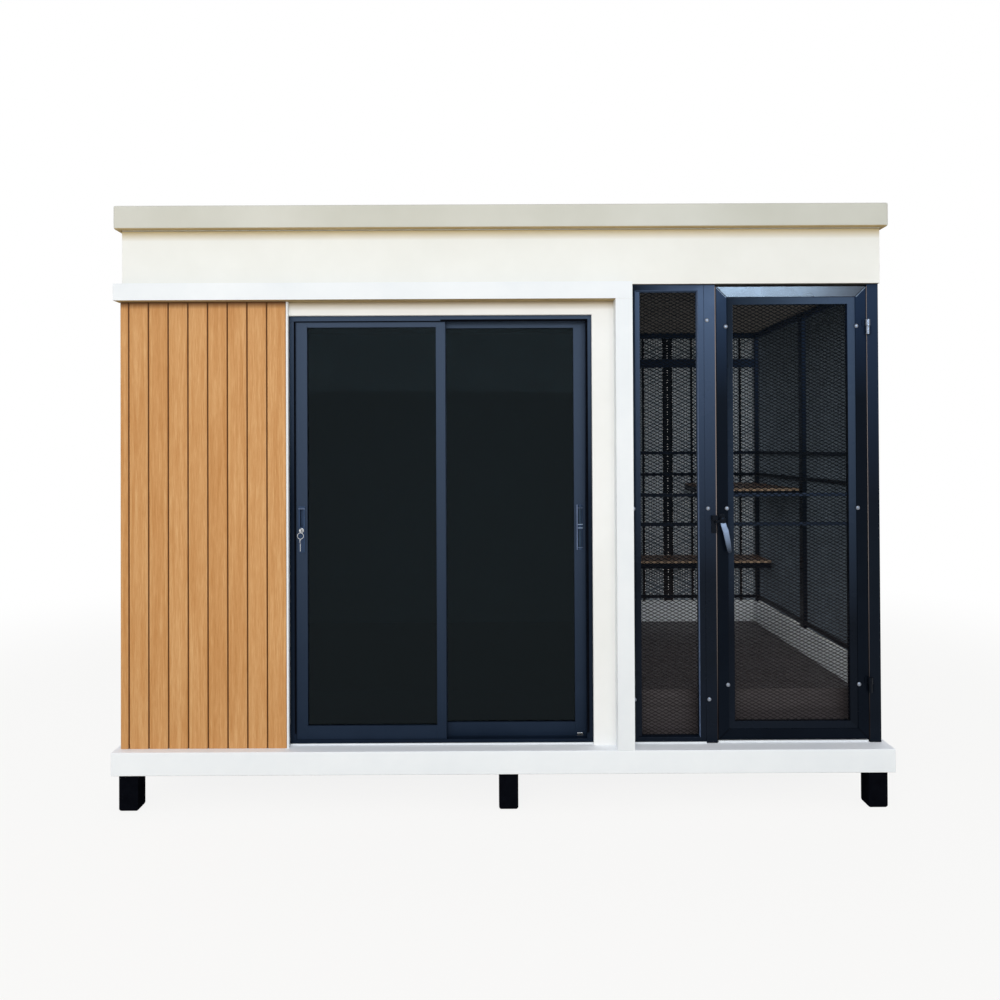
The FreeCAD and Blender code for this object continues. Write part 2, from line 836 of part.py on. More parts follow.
# Lock cylinder: a round face proud of the plate, with an upright keyway
y_lock_face = y_left_sash - size.pull_plate_thickness - size.lock_rise
y_lock_back = y_left_sash - size.lock_clearance
lock_face = rod("lock_face", size.lock_radius, y_lock_back - y_lock_face, x_lock, y_lock_face, z_lock, BACK)
key_half = size.key_thickness / 2
slot_half = key_half + size.key_slot_clearance
neck_half = size.key_neck_width / 2
slot_height = neck_half + size.key_slot_clearance
keyway = block(
    "keyway",
    (x_lock - slot_half, x_lock + slot_half),
    (y_lock_face, y_lock_back - size.key_thickness),
    (z_lock - slot_height, z_lock + slot_height),
)
node("lock_cylinder", cut("lock_cylinder", lock_face, keyway))

# Key: a round bow with a hole, its neck standing in the keyway
y_key_tip = y_lock_back - size.key_thickness - size.key_slot_clearance
y_bow = y_lock_face - size.key_neck_length - size.key_bow_radius


def key_shape(name, y_centre, z_centre, y_tip, z_tip):
    """A flat key: bow with a hole, and a straight neck and blade towards its tip."""
    x_key = x_lock - key_half
    bow = rod(name + "_bow", size.key_bow_radius, size.key_thickness, x_key, y_centre, z_centre, RIGHT)
    ends_y = (y_centre, y_tip)
    ends_z = (z_centre - neck_half, z_centre + neck_half)
    if z_tip is not None:
        ends_y = (y_centre - neck_half, y_centre + neck_half)
        ends_z = (z_tip, z_centre)
    blade = block(name + "_blade", (x_key, x_key + size.key_thickness), ends_y, ends_z)
    return fuse(name + "_flat", bow, blade)


bow_eye = size.key_bow_radius - size.key_bow_hole_radius - size.key_thickness
x_eye = x_lock - size.key_thickness
eye_length = size.key_thickness * 2
z_eye = z_lock - bow_eye
key_eye = rod("key_eye", size.key_bow_hole_radius, eye_length, x_eye, y_bow, z_eye, RIGHT)
node("door_key", cut("door_key", key_shape("door_key", y_bow, z_lock, y_key_tip, None), key_eye))

# Key ring: a flat-wire circle through the eye of the key, hanging with the spare key at its foot
ring_half = size.ring_wire / 2
ring_hang = size.key_bow_hole_radius - ring_half - size.ring_clearance
z_ring = z_eye - ring_hang - size.ring_radius
y_ring = y_bow - ring_half
ring_outside = rod("ring_outside", size.ring_radius + ring_half, size.ring_wire, x_lock, y_ring, z_ring, BACK)
ring_inside = rod("ring_inside", size.ring_radius - ring_half, size.ring_wire, x_lock, y_ring, z_ring, BACK)
ring = cut("key_ring", ring_outside, ring_inside)
node("key_ring", ring)
z_spare_eye = z_ring - size.ring_radius - ring_hang
z_spare_bow = z_spare_eye - bow_eye
spare_eye = rod("spare_eye", size.key_bow_hole_radius, eye_length, x_eye, y_bow, z_spare_eye, RIGHT)
z_spare_tip = z_spare_bow - size.key_bow_radius - size.key_blade_length
spare_flat = key_shape("spare_key", y_bow, z_spare_bow, None, z_spare_tip)
node("spare_key", cut("spare_key", spare_flat, spare_eye))

# Posts and mullion of the run: square tube from the ledge to the upper panels
post_level = (z_ledge, z_panel)
x_posts = (x_post, x_wall)
y_mid_post = y_frame + (y_wall_rear - y_frame) * size.mid_post_share
y_mid_back = y_mid_post + size.post_size
node("mullion", tube("mullion", (x_mullion, x_mullion_right), (y_frame, y_post_back), post_level))
node(
    "run_posts",
    tube("front_right_post", x_posts, (y_frame, y_post_back), post_level),
    tube("mid_right_post", x_posts, (y_mid_post, y_mid_back), post_level),
    tube("rear_right_post", x_posts, (y_rear_post, y_wall_rear), post_level),
    tube("rear_left_post", (x_run, x_run + size.post_size), (y_rear_post, y_wall_rear), post_level),
)


def mitred_frame(name, x_start, x_end, z_start, z_end, y_front, section):
    """Four bars of one section, mitred at the corners; the section holds (inset, depth) values."""
    corners = [(x_start, z_start), (x_end, z_start), (x_end, z_end), (x_start, z_end)]
    inward = [(1, 1), (-1, 1), (-1, -1), (1, -1)]
    cuts = []
    for (x, z), (x_way, z_way) in zip(corners, inward):
        points = [
            FreeCAD.Vector(
                x.value + inset.value * x_way,
                y_front.value + depth.value,
                z.value + inset.value * z_way,
            )
            for inset, depth in section
        ]
        cuts.append(Part.makePolygon(points + points[:1]))
    bars = []
    for number, side in enumerate(("bottom", "right", "top", "left")):
        bar = Part.makeLoft([cuts[number], cuts[(number + 1) % 4]], True, True)
        bars.append(shaped(f"{name}_{side}", bar))
    return bars


def expanded_sheet(width, height, long_way, short_way):
    """A sheet with rows of diamond openings, each row half a step from the next, in its own plane."""
    border = size.mesh_border.value
    strand = size.mesh_strand.value
    columns = max(1, int((width - 2 * border) // long_way))
    rows = max(1, int((height - 2 * border) // short_way))
    step = (width - 2 * border) / columns
    rise = (height - 2 * border) / rows
    slant = math.hypot(step, rise)
    half_long = step / 2 - strand * slant / (2 * rise)
    half_short = rise / 2 - strand * slant / (2 * step)
    outer = Part.makePolygon([
        FreeCAD.Vector(across, up, 0)
        for across, up in ((0, 0), (width, 0), (width, height), (0, height), (0, 0))
    ])
    holes = []
    for half_row in range(1, 2 * rows):
        shift = half_row % 2
        for column in range(columns - 1 + shift):
            across = border + step * (column + 1 - shift / 2)
            up = border + rise * half_row / 2
            tips = ((half_long, 0), (0, half_short), (-half_long, 0), (0, -half_short), (half_long, 0))
            holes.append(Part.makePolygon([FreeCAD.Vector(across + dx, up + dy, 0) for dx, dy in tips]))
    sheet_face = Part.makeFace([outer] + holes, "Part::FaceMakerBullseye")
    return sheet_face.extrude(FreeCAD.Vector(0, 0, size.mesh_thickness.value))


def mesh_panel(name, x, y, z, long_way, short_way):
    """An upright sheet between two ends along X or along Y, from the lower to the upper level."""
    start, end = y if x[0] is x[1] else x
    shape = expanded_sheet((end - start).value, (z[1] - z[0]).value, long_way.value, short_way.value)
    item = shaped(name, shape)
    turn = FreeCAD.Rotation(RIGHT, 90)
    if x[0] is x[1]:
        turn = FreeCAD.Rotation(UP, 90) * turn
    item.Placement = FreeCAD.Placement(FreeCAD.Vector(x[0].value, y[0].value, z[0].value), turn)
    return item


# Fixed panel between the partition and the mullion
fixed_section = (
    (zero, zero),
    (size.fixed_bar_width - size.fixed_bevel_width, zero),
    (size.fixed_bar_width, size.fixed_bevel_depth),
    (size.fixed_bar_width, size.fixed_bar_depth),
    (zero, size.fixed_bar_depth),
)
node(
    "fixed_panel_frame",
    *mitred_frame("fixed_bar", x_run, x_mullion, z_ledge, z_panel, y_frame, fixed_section),
)
y_mesh = y_frame + size.mesh_setback
y_mesh_back = y_mesh + size.mesh_thickness
fixed_opening = (x_run + size.fixed_bar_width, x_mullion - size.fixed_bar_width)
node(
    "fixed_panel_mesh",
    mesh_panel(
        "fixed_panel_mesh",
        fixed_opening,
        (y_mesh_back, y_mesh_back),
        (z_ledge + size.fixed_bar_width, z_panel - size.fixed_bar_width),
        size.front_diamond_long,
        size.front_diamond_short,
    ),
)

# Mesh door: mitred bars with a stepped and bevelled inner edge
door_section = (
    (zero, zero),
    (size.door_bar_face, zero),
    (size.door_bar_face, size.door_bar_step),
    (size.door_bar_width, size.door_bar_inner),
    (size.door_bar_width, size.door_bar_depth),
    (zero, size.door_bar_depth),
)
z_mesh_door = z_ledge + size.mesh_door_bottom_gap
z_mesh_door_top = z_panel - size.mesh_door_top_gap
node(
    "mesh_door_frame",
    *mitred_frame(
        "door_bar", x_door_left, x_door_right, z_mesh_door, z_mesh_door_top, y_frame, door_section
    ),
)
door_opening = (x_door_left + size.door_bar_width, x_door_right - size.door_bar_width)
node(
    "mesh_door_mesh",
    mesh_panel(
        "mesh_door_mesh",
        door_opening,
        (y_mesh_back, y_mesh_back),
        (z_mesh_door + size.door_bar_width, z_mesh_door_top - size.door_bar_width),
        size.front_diamond_long,
        size.front_diamond_short,
    ),
)


def cross_bars(name, opening):
    """Two flat bars that stiffen a mesh panel from behind."""
    layer = (y_mesh_back, y_mesh_back + size.cross_bar_thickness)
    levels = (z_ledge + size.cross_bar_lower_height, z_ledge + size.cross_bar_upper_height)
    half = size.cross_bar_height / 2
    return [
        block(f"{name}_{number}", opening, layer, (level - half, level + half))
        for number, level in enumerate(levels, start=1)
    ]


node("mesh_door_bars", *cross_bars("door_cross_bar", door_opening))

# Bullet hinges: the door's upper half drops over a pin on the post's lower half
x_hinge = (x_door_right + x_post) / 2
y_hinge = y_frame - size.hinge_axis_stand
tab_layer = (y_frame - size.hinge_tab_thickness, y_frame)
door_knuckles = []
post_knuckles = []
hinge_places = (z_ledge + size.hinge_lower_height, z_panel - size.hinge_upper_drop)
for number, z_joint in enumerate(hinge_places, start=1):
    z_door_half = z_joint + size.hinge_gap
    door_level = (z_door_half, z_door_half + size.hinge_door_length)
    post_level_low = (z_joint - size.hinge_post_length, z_joint)
    barrel = rod(
        f"door_barrel_{number}",
        size.hinge_radius,
        size.hinge_door_length,
        x_hinge,
        y_hinge,
        z_door_half,
    )
    door_tab = block(f"door_tab_{number}", (x_hinge - size.hinge_tab_width, x_hinge), tab_layer, door_level)
    bore = rod(
        f"door_bore_{number}",
        size.hinge_pin_radius + size.running_clearance,
        size.hinge_pin_length + size.hinge_gap,
        x_hinge,
        y_hinge,
        z_door_half,
    )
    door_knuckles.append(cut(f"door_knuckle_{number}", fuse(f"door_half_{number}", barrel, door_tab), bore))
    stub = rod(
        f"post_barrel_{number}",
        size.hinge_post_radius,
        size.hinge_post_length,
        x_hinge,
        y_hinge,
        post_level_low[0],
    )
    pin = rod(
        f"hinge_pin_{number}",
        size.hinge_pin_radius,
        size.hinge_post_length + size.hinge_pin_length,
        x_hinge,
        y_hinge,
        post_level_low[0],
    )
    post_tab_x = (x_hinge, x_hinge + size.hinge_tab_width)
    post_tab = block(f"post_tab_{number}", post_tab_x, tab_layer, post_level_low)
    post_knuckles.append(fuse(f"post_knuckle_{number}", stub, pin, post_tab))
node("hinge_door_knuckles", *door_knuckles)
node("hinge_post_knuckles", *post_knuckles)

# Cockspur handle: base plate with a spindle on the door, lever with a nose, hooked keeper on the mullion
x_handle = x_door_left + size.handle_inset
z_handle = z_ledge + size.handle_height
y_plate = y_frame - size.handle_plate_thickness
y_hub_back = y_plate - size.hub_gap
y_hub = y_hub_back - size.hub_length
handle_plate = block(
    "handle_plate",
    (x_handle - size.handle_plate_width / 2, x_handle + size.handle_plate_width / 2),
    (y_plate, y_frame),
    (z_handle - size.handle_plate_length / 2, z_handle + size.handle_plate_length / 2),
)
spindle = rod("handle_spindle", size.spindle_radius, y_frame - y_hub, x_handle, y_hub, z_handle, BACK)
node("handle_base", fuse("handle_base", handle_plate, spindle))


LEVER_SIDES = 16


def oval(centre_out, drop, half_width, half_depth):
    """A level oval across the lever, drawn with flat sides, at a drop below the spindle."""
    corners = []
    for number in range(LEVER_SIDES + 1):
        angle = 2 * math.pi * number / LEVER_SIDES
        x = half_width * math.cos(angle)
        y = half_depth * math.sin(angle) - centre_out
        corners.append(FreeCAD.Vector(x, y, -drop))
    return Part.makePolygon(corners)


def lever_shape():
    """Hub, grip cranked away from the door, and nose; drawn hanging straight down from the spindle."""
    hub_length = size.hub_length.value
    hub_radius = size.hub_radius.value
    reach = size.lever_length.value
    hub = Part.makeCylinder(hub_radius, hub_length, ORIGIN, FreeCAD.Vector(0, -1, 0))
    middle = hub_length / 2
    crank = hub_length * 2
    grip = Part.makeLoft(
        [
            oval(middle, hub_radius / 4, hub_radius * 0.85, middle * 0.9),
            oval(middle * 1.3, hub_radius * 1.6, hub_radius * 0.75, middle * 0.9),
            oval(crank, reach * 0.36, hub_radius * 0.72, middle * 0.85),
            oval(crank * 1.1, reach * 0.7, hub_radius * 0.7, middle * 0.8),
            oval(crank, reach, hub_radius * 0.62, middle * 0.7),
        ],
        True,
        True,
    )
    bore = Part.makeCylinder(
        size.spindle_radius.value + size.running_clearance.value,
        hub_length,
        ORIGIN,
        FreeCAD.Vector(0, -1, 0),
    )
    nose_height = size.nose_height.value
    nose_thickness = size.nose_thickness.value
    nose_back = FreeCAD.Vector(
        -size.nose_length.value,
        -nose_thickness - (hub_length - nose_thickness) / 2,
        -nose_height / 2,
    )
    nose = Part.makeBox(size.nose_length.value, nose_thickness, nose_height, nose_back)
    nose.rotate(ORIGIN, BACK, size.lever_lean.value - size.nose_release.value)
    whole = hub.fuse([grip, nose]).cut(bore).removeSplitter()
    return whole.Solids[0]


lever = shaped("handle_lever", lever_shape())
lever.Placement = FreeCAD.Placement(
    FreeCAD.Vector(x_handle.value, y_hub_back.value, z_handle.value),
    FreeCAD.Rotation(BACK, -size.lever_lean.value),
)
node("handle_lever", lever)

nose_margin = (size.hub_length - size.nose_thickness) / 2
y_nose = y_hub + nose_margin
y_lip_back = y_nose - size.keeper_lip_gap
y_lip = y_lip_back - size.keeper_lip_thickness
x_keeper = x_mullion_right - size.keeper_width
z_hook = z_handle + size.nose_height / 2 + size.keeper_hook_clearance
z_hook_top = z_hook + size.keeper_arm_height
keeper_x = (x_keeper, x_mullion_right)
keeper_plate = block(
    "keeper_plate",
    keeper_x,
    (y_frame - size.keeper_thickness, y_frame),
    (z_handle - size.keeper_drop, z_hook_top),
)
keeper_arm = block("keeper_arm", keeper_x, (y_lip, y_frame), (z_hook, z_hook_top))
keeper_lip = block(
    "keeper_lip",
    keeper_x,
    (y_lip, y_lip_back),
    (z_handle + size.nose_height / 2 - size.keeper_lip_reach, z_hook_top),
)
node("handle_keeper", fuse("handle_keeper", keeper_plate, keeper_arm, keeper_lip))


SCREW_SIDES = 16


def screw_head(name, x, z):
    """The low head of a screw in the front face of the run, drawn with flat sides."""
    head = doc.addObject("Part::Prism", name)
    head.Polygon = SCREW_SIDES
    head.Placement = FreeCAD.Placement(ORIGIN, FreeCAD.Rotation(UP, -BACK))
    head.setExpression("Circumradius", size.screw_head_radius.text)
    head.setExpression("Height", size.screw_head_height.text)
    place(head, x, y_frame, z)
    return head


# Screws near the top, at mid height and near the bottom of the stiles, the mullion and the fixed panel
z_middle_screw = z_handle + size.middle_screw_rise
x_mullion_screw = x_mullion + size.mullion_screw_inset
x_fixed_screw = x_run + (size.fixed_bar_width - size.fixed_bevel_width) / 2
frame_screw_places = (
    (x_mullion_screw, z_ledge + size.frame_screw_low_height),
    (x_mullion_screw, z_middle_screw),
    (x_mullion_screw, z_panel - size.frame_screw_drop),
    (x_fixed_screw, z_ledge + size.frame_screw_low_height),
    (x_fixed_screw, z_middle_screw),
)
z_door_screws = (z_ledge + size.door_screw_low_height, z_middle_screw, z_panel - size.door_screw_drop)
door_screw_places = [
    (x_screw, z_screw)
    for x_screw in (x_door_left + size.door_screw_inset, x_door_right - size.door_screw_inset)
    for z_screw in z_door_screws
]
for label, screw_places in (("frame_screws", frame_screw_places), ("door_screws", door_screw_places)):
    node(
        label,
        *[screw_head(f"{label}_{number}", x, z) for number, (x, z) in enumerate(screw_places, start=1)],
    )

# Kick panels and skirting round the run's floor
z_skirting = z_floor + size.skirting_height
kick_x = (x_wall - size.kick_inset - size.kick_thickness, x_wall - size.kick_inset)
kick_y = (y_wall_rear - size.kick_inset - size.kick_thickness, y_wall_rear - size.kick_inset)
front_bay = (y_post_back, y_mid_post)
rear_bay = (y_mid_back, y_rear_post)
rear_span = (x_run + size.post_size, x_post)
kick_level = (z_ledge, z_skirting)
node(
    "kick_panels",
    block("kick_front_bay", kick_x, front_bay, kick_level),
    block("kick_rear_bay", kick_x, rear_bay, kick_level),
    block("kick_rear", rear_span, kick_y, kick_level),
)
y_skirting = y_rear_post - size.skirting_thickness
x_skirting = x_post - size.skirting_thickness
skirting_level = (z_floor, z_skirting)
node(
    "run_skirting",
    block("skirting_right", (x_skirting, x_post), (y_deck, y_rear_post), skirting_level),
    block("skirting_rear", (x_run, x_skirting), (y_skirting, y_rear_post), skirting_level),
)

# Mesh of the run's side and rear walls, above the kick panels
x_side_mesh = x_post + size.rail_inset + size.rail_thickness
y_rear_mesh_back = y_rear_post + size.rail_inset + size.rail_thickness + size.mesh_thickness
mesh_level = (z_skirting, z_panel)
run_diamond = (size.run_diamond_long, size.run_diamond_short)
node(
    "run_side_mesh",
    mesh_panel("side_mesh_front", (x_side_mesh, x_side_mesh), front_bay, mesh_level, *run_diamond),
    mesh_panel("side_mesh_rear", (x_side_mesh, x_side_mesh), rear_bay, mesh_level, *run_diamond),
)
node(
    "run_rear_mesh",
    mesh_panel("run_rear_mesh", rear_span, (y_rear_mesh_back, y_rear_mesh_back), mesh_level, *run_diamond),
)

# Rails inside the mesh, the uprights of the rear wall, and the cross bars of the fixed panel
rail_levels = (
    (z_floor + size.bottom_rail_rise, size.thin_rail_height),
    (z_floor + size.lower_rail_rise, size.thin_rail_height),
    (z_floor + size.upper_rail_rise, size.thin_rail_height),
    (z_panel - size.top_bar_height, size.top_bar_height),
)
x_rail = (x_post + size.rail_inset, x_side_mesh)
y_rail_front = y_rear_post + size.rail_inset
y_rail = (y_rail_front, y_rail_front + size.rail_thickness)
rails = cross_bars("fixed_cross_bar", fixed_opening)
for number, (z_rail_low, height) in enumerate(rail_levels, start=1):
    level = (z_rail_low, z_rail_low + height)
    rails.append(block(f"side_rail_front_{number}", x_rail, front_bay, level))
    rails.append(block(f"side_rail_rear_{number}", x_rail, rear_bay, level))
    rails.append(block(f"rear_rail_{number}", rear_span, y_rail, level))
z_thick_rail = z_panel - size.thick_rail_drop
thick_rail_level = (z_thick_rail, z_thick_rail + size.thick_rail_height)
rails.append(block("rear_thick_rail", rear_span, y_rail, thick_rail_level))
# One upright, counted from the right, is a pair of bars
PAIRED_UPRIGHT = 3
upright_half = size.upright_width / 2
x_last_upright = rear_span[1] - size.upright_end_gap
upright_room = x_last_upright - upright_half - rear_span[0]
upright_count = int(upright_room.value // size.upright_spacing.value) + 1
upright_centres = []
for number in range(upright_count):
    centre = x_last_upright - size.upright_spacing * number
    if number == PAIRED_UPRIGHT:
        upright_centres += [centre - size.upright_pair_half, centre + size.upright_pair_half]
    else:
        upright_centres.append(centre)
upright_layer = (y_rear_mesh_back, y_rear_mesh_back + size.upright_width)
for number, centre in enumerate(upright_centres, start=1):
    upright_ends = (centre - upright_half, centre + upright_half)
    rails.append(block(f"rear_upright_{number}", upright_ends, upright_layer, mesh_level))
node("run_rails", *rails)

# Shelves: a low one across the rear of the run, a high one along the right side
z_low_shelf = z_floor + size.low_shelf_rise
z_high_shelf = z_floor + size.high_shelf_rise
y_low_shelf = y_rear_post - size.low_shelf_depth
x_high_shelf = x_post - size.high_shelf_width
low_x = (x_run, x_post)
low_y = (y_low_shelf, y_rear_post)
high_x = (x_high_shelf, x_post)
high_y = (y_mid_back, y_rear_post)
node(
    "shelf_boards",
    block("low_shelf_board", low_x, low_y, (z_low_shelf - size.shelf_thickness, z_low_shelf)),
    block("high_shelf_board", high_x, high_y, (z_high_shelf - size.shelf_thickness, z_high_shelf)),
)


def shelf_frame(name, x, y, z_board):
    """Two long bars under a shelf's edges, with two short bars between them."""
    bar = size.shelf_frame_size
    level = (z_board - bar, z_board)
    return [
        block(name + "_front", x, (y[0], y[0] + bar), level),
        block(name + "_rear", x, (y[1] - bar, y[1]), level),
        block(name + "_left", (x[0], x[0] + bar), (y[0] + bar, y[1] - bar), level),
        block(name + "_right", (x[1] - bar, x[1]), (y[0] + bar, y[1] - bar), level),
    ]


node(
    "shelf_frames",
    *shelf_frame("low_shelf_bar", low_x, low_y, z_low_shelf - size.shelf_thickness),
    *shelf_frame("high_shelf_bar", high_x, high_y, z_high_shelf - size.shelf_thickness),
)

# Check every object, then write each sub-part to its own file
doc.recompute()
failed = [item.Name for item in doc.Objects if "Invalid" in item.State or "Error" in item.State]
if failed:
    raise RuntimeError("failed objects: " + ", ".join(failed))
for item in nodes:
    if item.Shape.isNull() or not item.Shape.isValid():
        raise RuntimeError("bad shape: " + item.Label)
    if not item.Shape.Solids:
        raise RuntimeError("no solid: " + item.Label)
os.makedirs("parts", exist_ok=True)
for item in nodes:
    item.Shape.exportStep(f"parts/{item.Label}.step")
print(f"{len(nodes)} sub-parts, {sum(len(item.Shape.Solids) for item in nodes)} solids")
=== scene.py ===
"""Finishes and fine detail of the pet house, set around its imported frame."""
import json
import math

import bmesh
import bpy
from mathutils import Matrix, Vector

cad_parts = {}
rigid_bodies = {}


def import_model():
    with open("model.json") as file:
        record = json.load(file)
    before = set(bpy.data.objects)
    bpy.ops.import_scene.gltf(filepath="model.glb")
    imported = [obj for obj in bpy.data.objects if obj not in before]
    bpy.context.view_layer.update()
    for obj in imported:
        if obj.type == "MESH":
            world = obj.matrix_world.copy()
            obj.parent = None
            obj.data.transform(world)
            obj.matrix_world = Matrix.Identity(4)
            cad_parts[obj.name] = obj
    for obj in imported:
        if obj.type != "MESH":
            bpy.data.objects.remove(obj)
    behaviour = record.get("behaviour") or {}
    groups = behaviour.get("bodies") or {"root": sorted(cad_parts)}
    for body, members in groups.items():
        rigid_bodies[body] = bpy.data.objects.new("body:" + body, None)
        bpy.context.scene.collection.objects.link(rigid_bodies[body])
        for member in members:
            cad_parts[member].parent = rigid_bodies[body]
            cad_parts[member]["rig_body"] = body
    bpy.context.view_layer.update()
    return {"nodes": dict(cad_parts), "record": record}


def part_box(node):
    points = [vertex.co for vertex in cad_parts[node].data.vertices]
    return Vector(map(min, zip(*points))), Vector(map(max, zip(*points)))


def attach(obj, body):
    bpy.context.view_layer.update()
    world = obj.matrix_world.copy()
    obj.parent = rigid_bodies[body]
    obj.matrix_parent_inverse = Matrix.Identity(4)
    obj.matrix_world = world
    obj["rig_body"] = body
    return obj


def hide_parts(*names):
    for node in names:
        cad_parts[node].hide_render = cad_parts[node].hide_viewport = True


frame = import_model()
nodes = frame["nodes"]
scene = bpy.context.scene
slots = {row["node"]: row["material_slot"] for row in frame["record"]["subparts"]}
MM = 0.001
MERGE = 0.01 * MM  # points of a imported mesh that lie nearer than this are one
SHARP = math.radians(38)  # an edge that turns more than this is an arris
FLAT = math.radians(1)  # faces that turn less than this against each other are one


def linear(hex_colour):
    """An sRGB hex colour as linear red, green, blue and alpha."""
    parts = [int(hex_colour[i : i + 2], 16) / 255 for i in (1, 3, 5)]
    return tuple(v / 12.92 if v <= 0.04045 else ((v + 0.055) / 1.055) ** 2.4 for v in parts) + (1.0,)


def add(tree, kind, sockets, **settings):
    """One shader node: its sockets take fixed values or links, its settings and colour stops are set."""
    item = tree.nodes.new("ShaderNode" + kind)
    stops = settings.pop("stops", ())
    for name, value in settings.items():
        setattr(item, name, value)
    for name, value in sockets.items():
        if isinstance(value, bpy.types.NodeSocket):
            tree.links.new(value, item.inputs[name])
        else:
            item.inputs[name].default_value = value
    for number, (position, colour) in enumerate(stops):
        elements = item.color_ramp.elements
        stop = elements[number] if number < 2 else elements.new(position)
        stop.position = position
        stop.color = linear(colour)
    return item


UNTINTED = linear("#FFFFFF")
BLUE_SHEEN = linear("#C4D4EC")
GLOSS_SWING = 0.05  # roughness of a coat, to each side of its mean
GRAIN_STRETCH = 0.035  # scale of the grain along a board, against that across it
FIGURE_WIDTHS = 7  # width of the broad figure in the wood, in widths of its fine grain
BOARD_SHIFT = 3.0  # metres by which the grain moves from board to board
BOARD_TONE = 0.025  # how much lighter or darker a board can be
GRAIN_RELIEF = 0.4 * MM
SEAM_CORE = 0.4  # share of a seam that is fully dark


def per_metre(millimetres):
    """The pattern scale that gives a feature of this real size."""
    return 1 / (millimetres * MM)


def new_material(name):
    """An empty material, its tree and the place that its surface goes to."""
    material = bpy.data.materials.new(name)
    material.use_nodes = True
    tree = material.node_tree
    tree.nodes.clear()
    return material, tree, add(tree, "OutputMaterial", {})


def climbed(tree, place, tone, climb):
    """The tone, changed to another colour between two heights in metres."""
    above, low, high = climb
    height = add(tree, "SeparateXYZ", {"Vector": place}).outputs["Z"]
    share = add(tree, "MapRange", {"Value": height, "From Min": low, "From Max": high})
    return add(
        tree,
        "Mix",
        {0: share.outputs["Result"], 6: tone, 7: linear(above)},
        data_type="RGBA",
    ).outputs[2]


def coated(
    name, colour, shade, mottle, peel, peel_height, roughness,
    shine=0.5, tint=UNTINTED, metallic=0.0, waxiness=0.0, climb=None,
):
    """A sprayed or moulded coat: slow drifts of tone, a fine orange-peel relief and uneven gloss.

    Mottle, peel and the peel's height are in millimetres; the peel is drawn coarser than a real one, so that it
    shows. Shine is the level of the mirrored light and tint its colour. A climb is a colour that the coat reaches
    between two heights, in metres.
    """
    material, tree, output = new_material(name)
    place = add(tree, "TexCoord", {}).outputs["Object"]
    drift = add(tree, "TexNoise", {"Vector": place, "Scale": per_metre(mottle), "Detail": 4.0, "Roughness": 0.6})
    grit = add(tree, "TexNoise", {"Vector": place, "Scale": per_metre(peel), "Detail": 2.0})
    tone = add(
        tree,
        "ValToRGB",
        {"Fac": drift.outputs["Fac"]},
        stops=((0.3, shade), (0.68, colour)),
    ).outputs["Color"]
    if climb:
        tone = climbed(tree, place, tone, climb)
    gloss = add(
        tree,
        "MapRange",
        {"Value": drift.outputs["Fac"], "From Min": 0.3, "From Max": 0.7,
         "To Min": roughness + GLOSS_SWING, "To Max": roughness - GLOSS_SWING},
    )
    relief = add(
        tree,
        "Bump",
        {"Height": grit.outputs["Fac"], "Strength": 0.6, "Distance": peel_height * MM},
    )
    shader = add(
        tree,
        "BsdfPrincipled",
        {
            "Base Color": tone,
            "Roughness": gloss.outputs["Result"],
            "Normal": relief.outputs["Normal"],
            "Specular IOR Level": shine,
            "Specular Tint": tint,
            "Metallic": metallic,
            "Subsurface Weight": waxiness,
        },
    )
    tree.links.new(shader.outputs["BSDF"], output.inputs["Surface"])
    return material


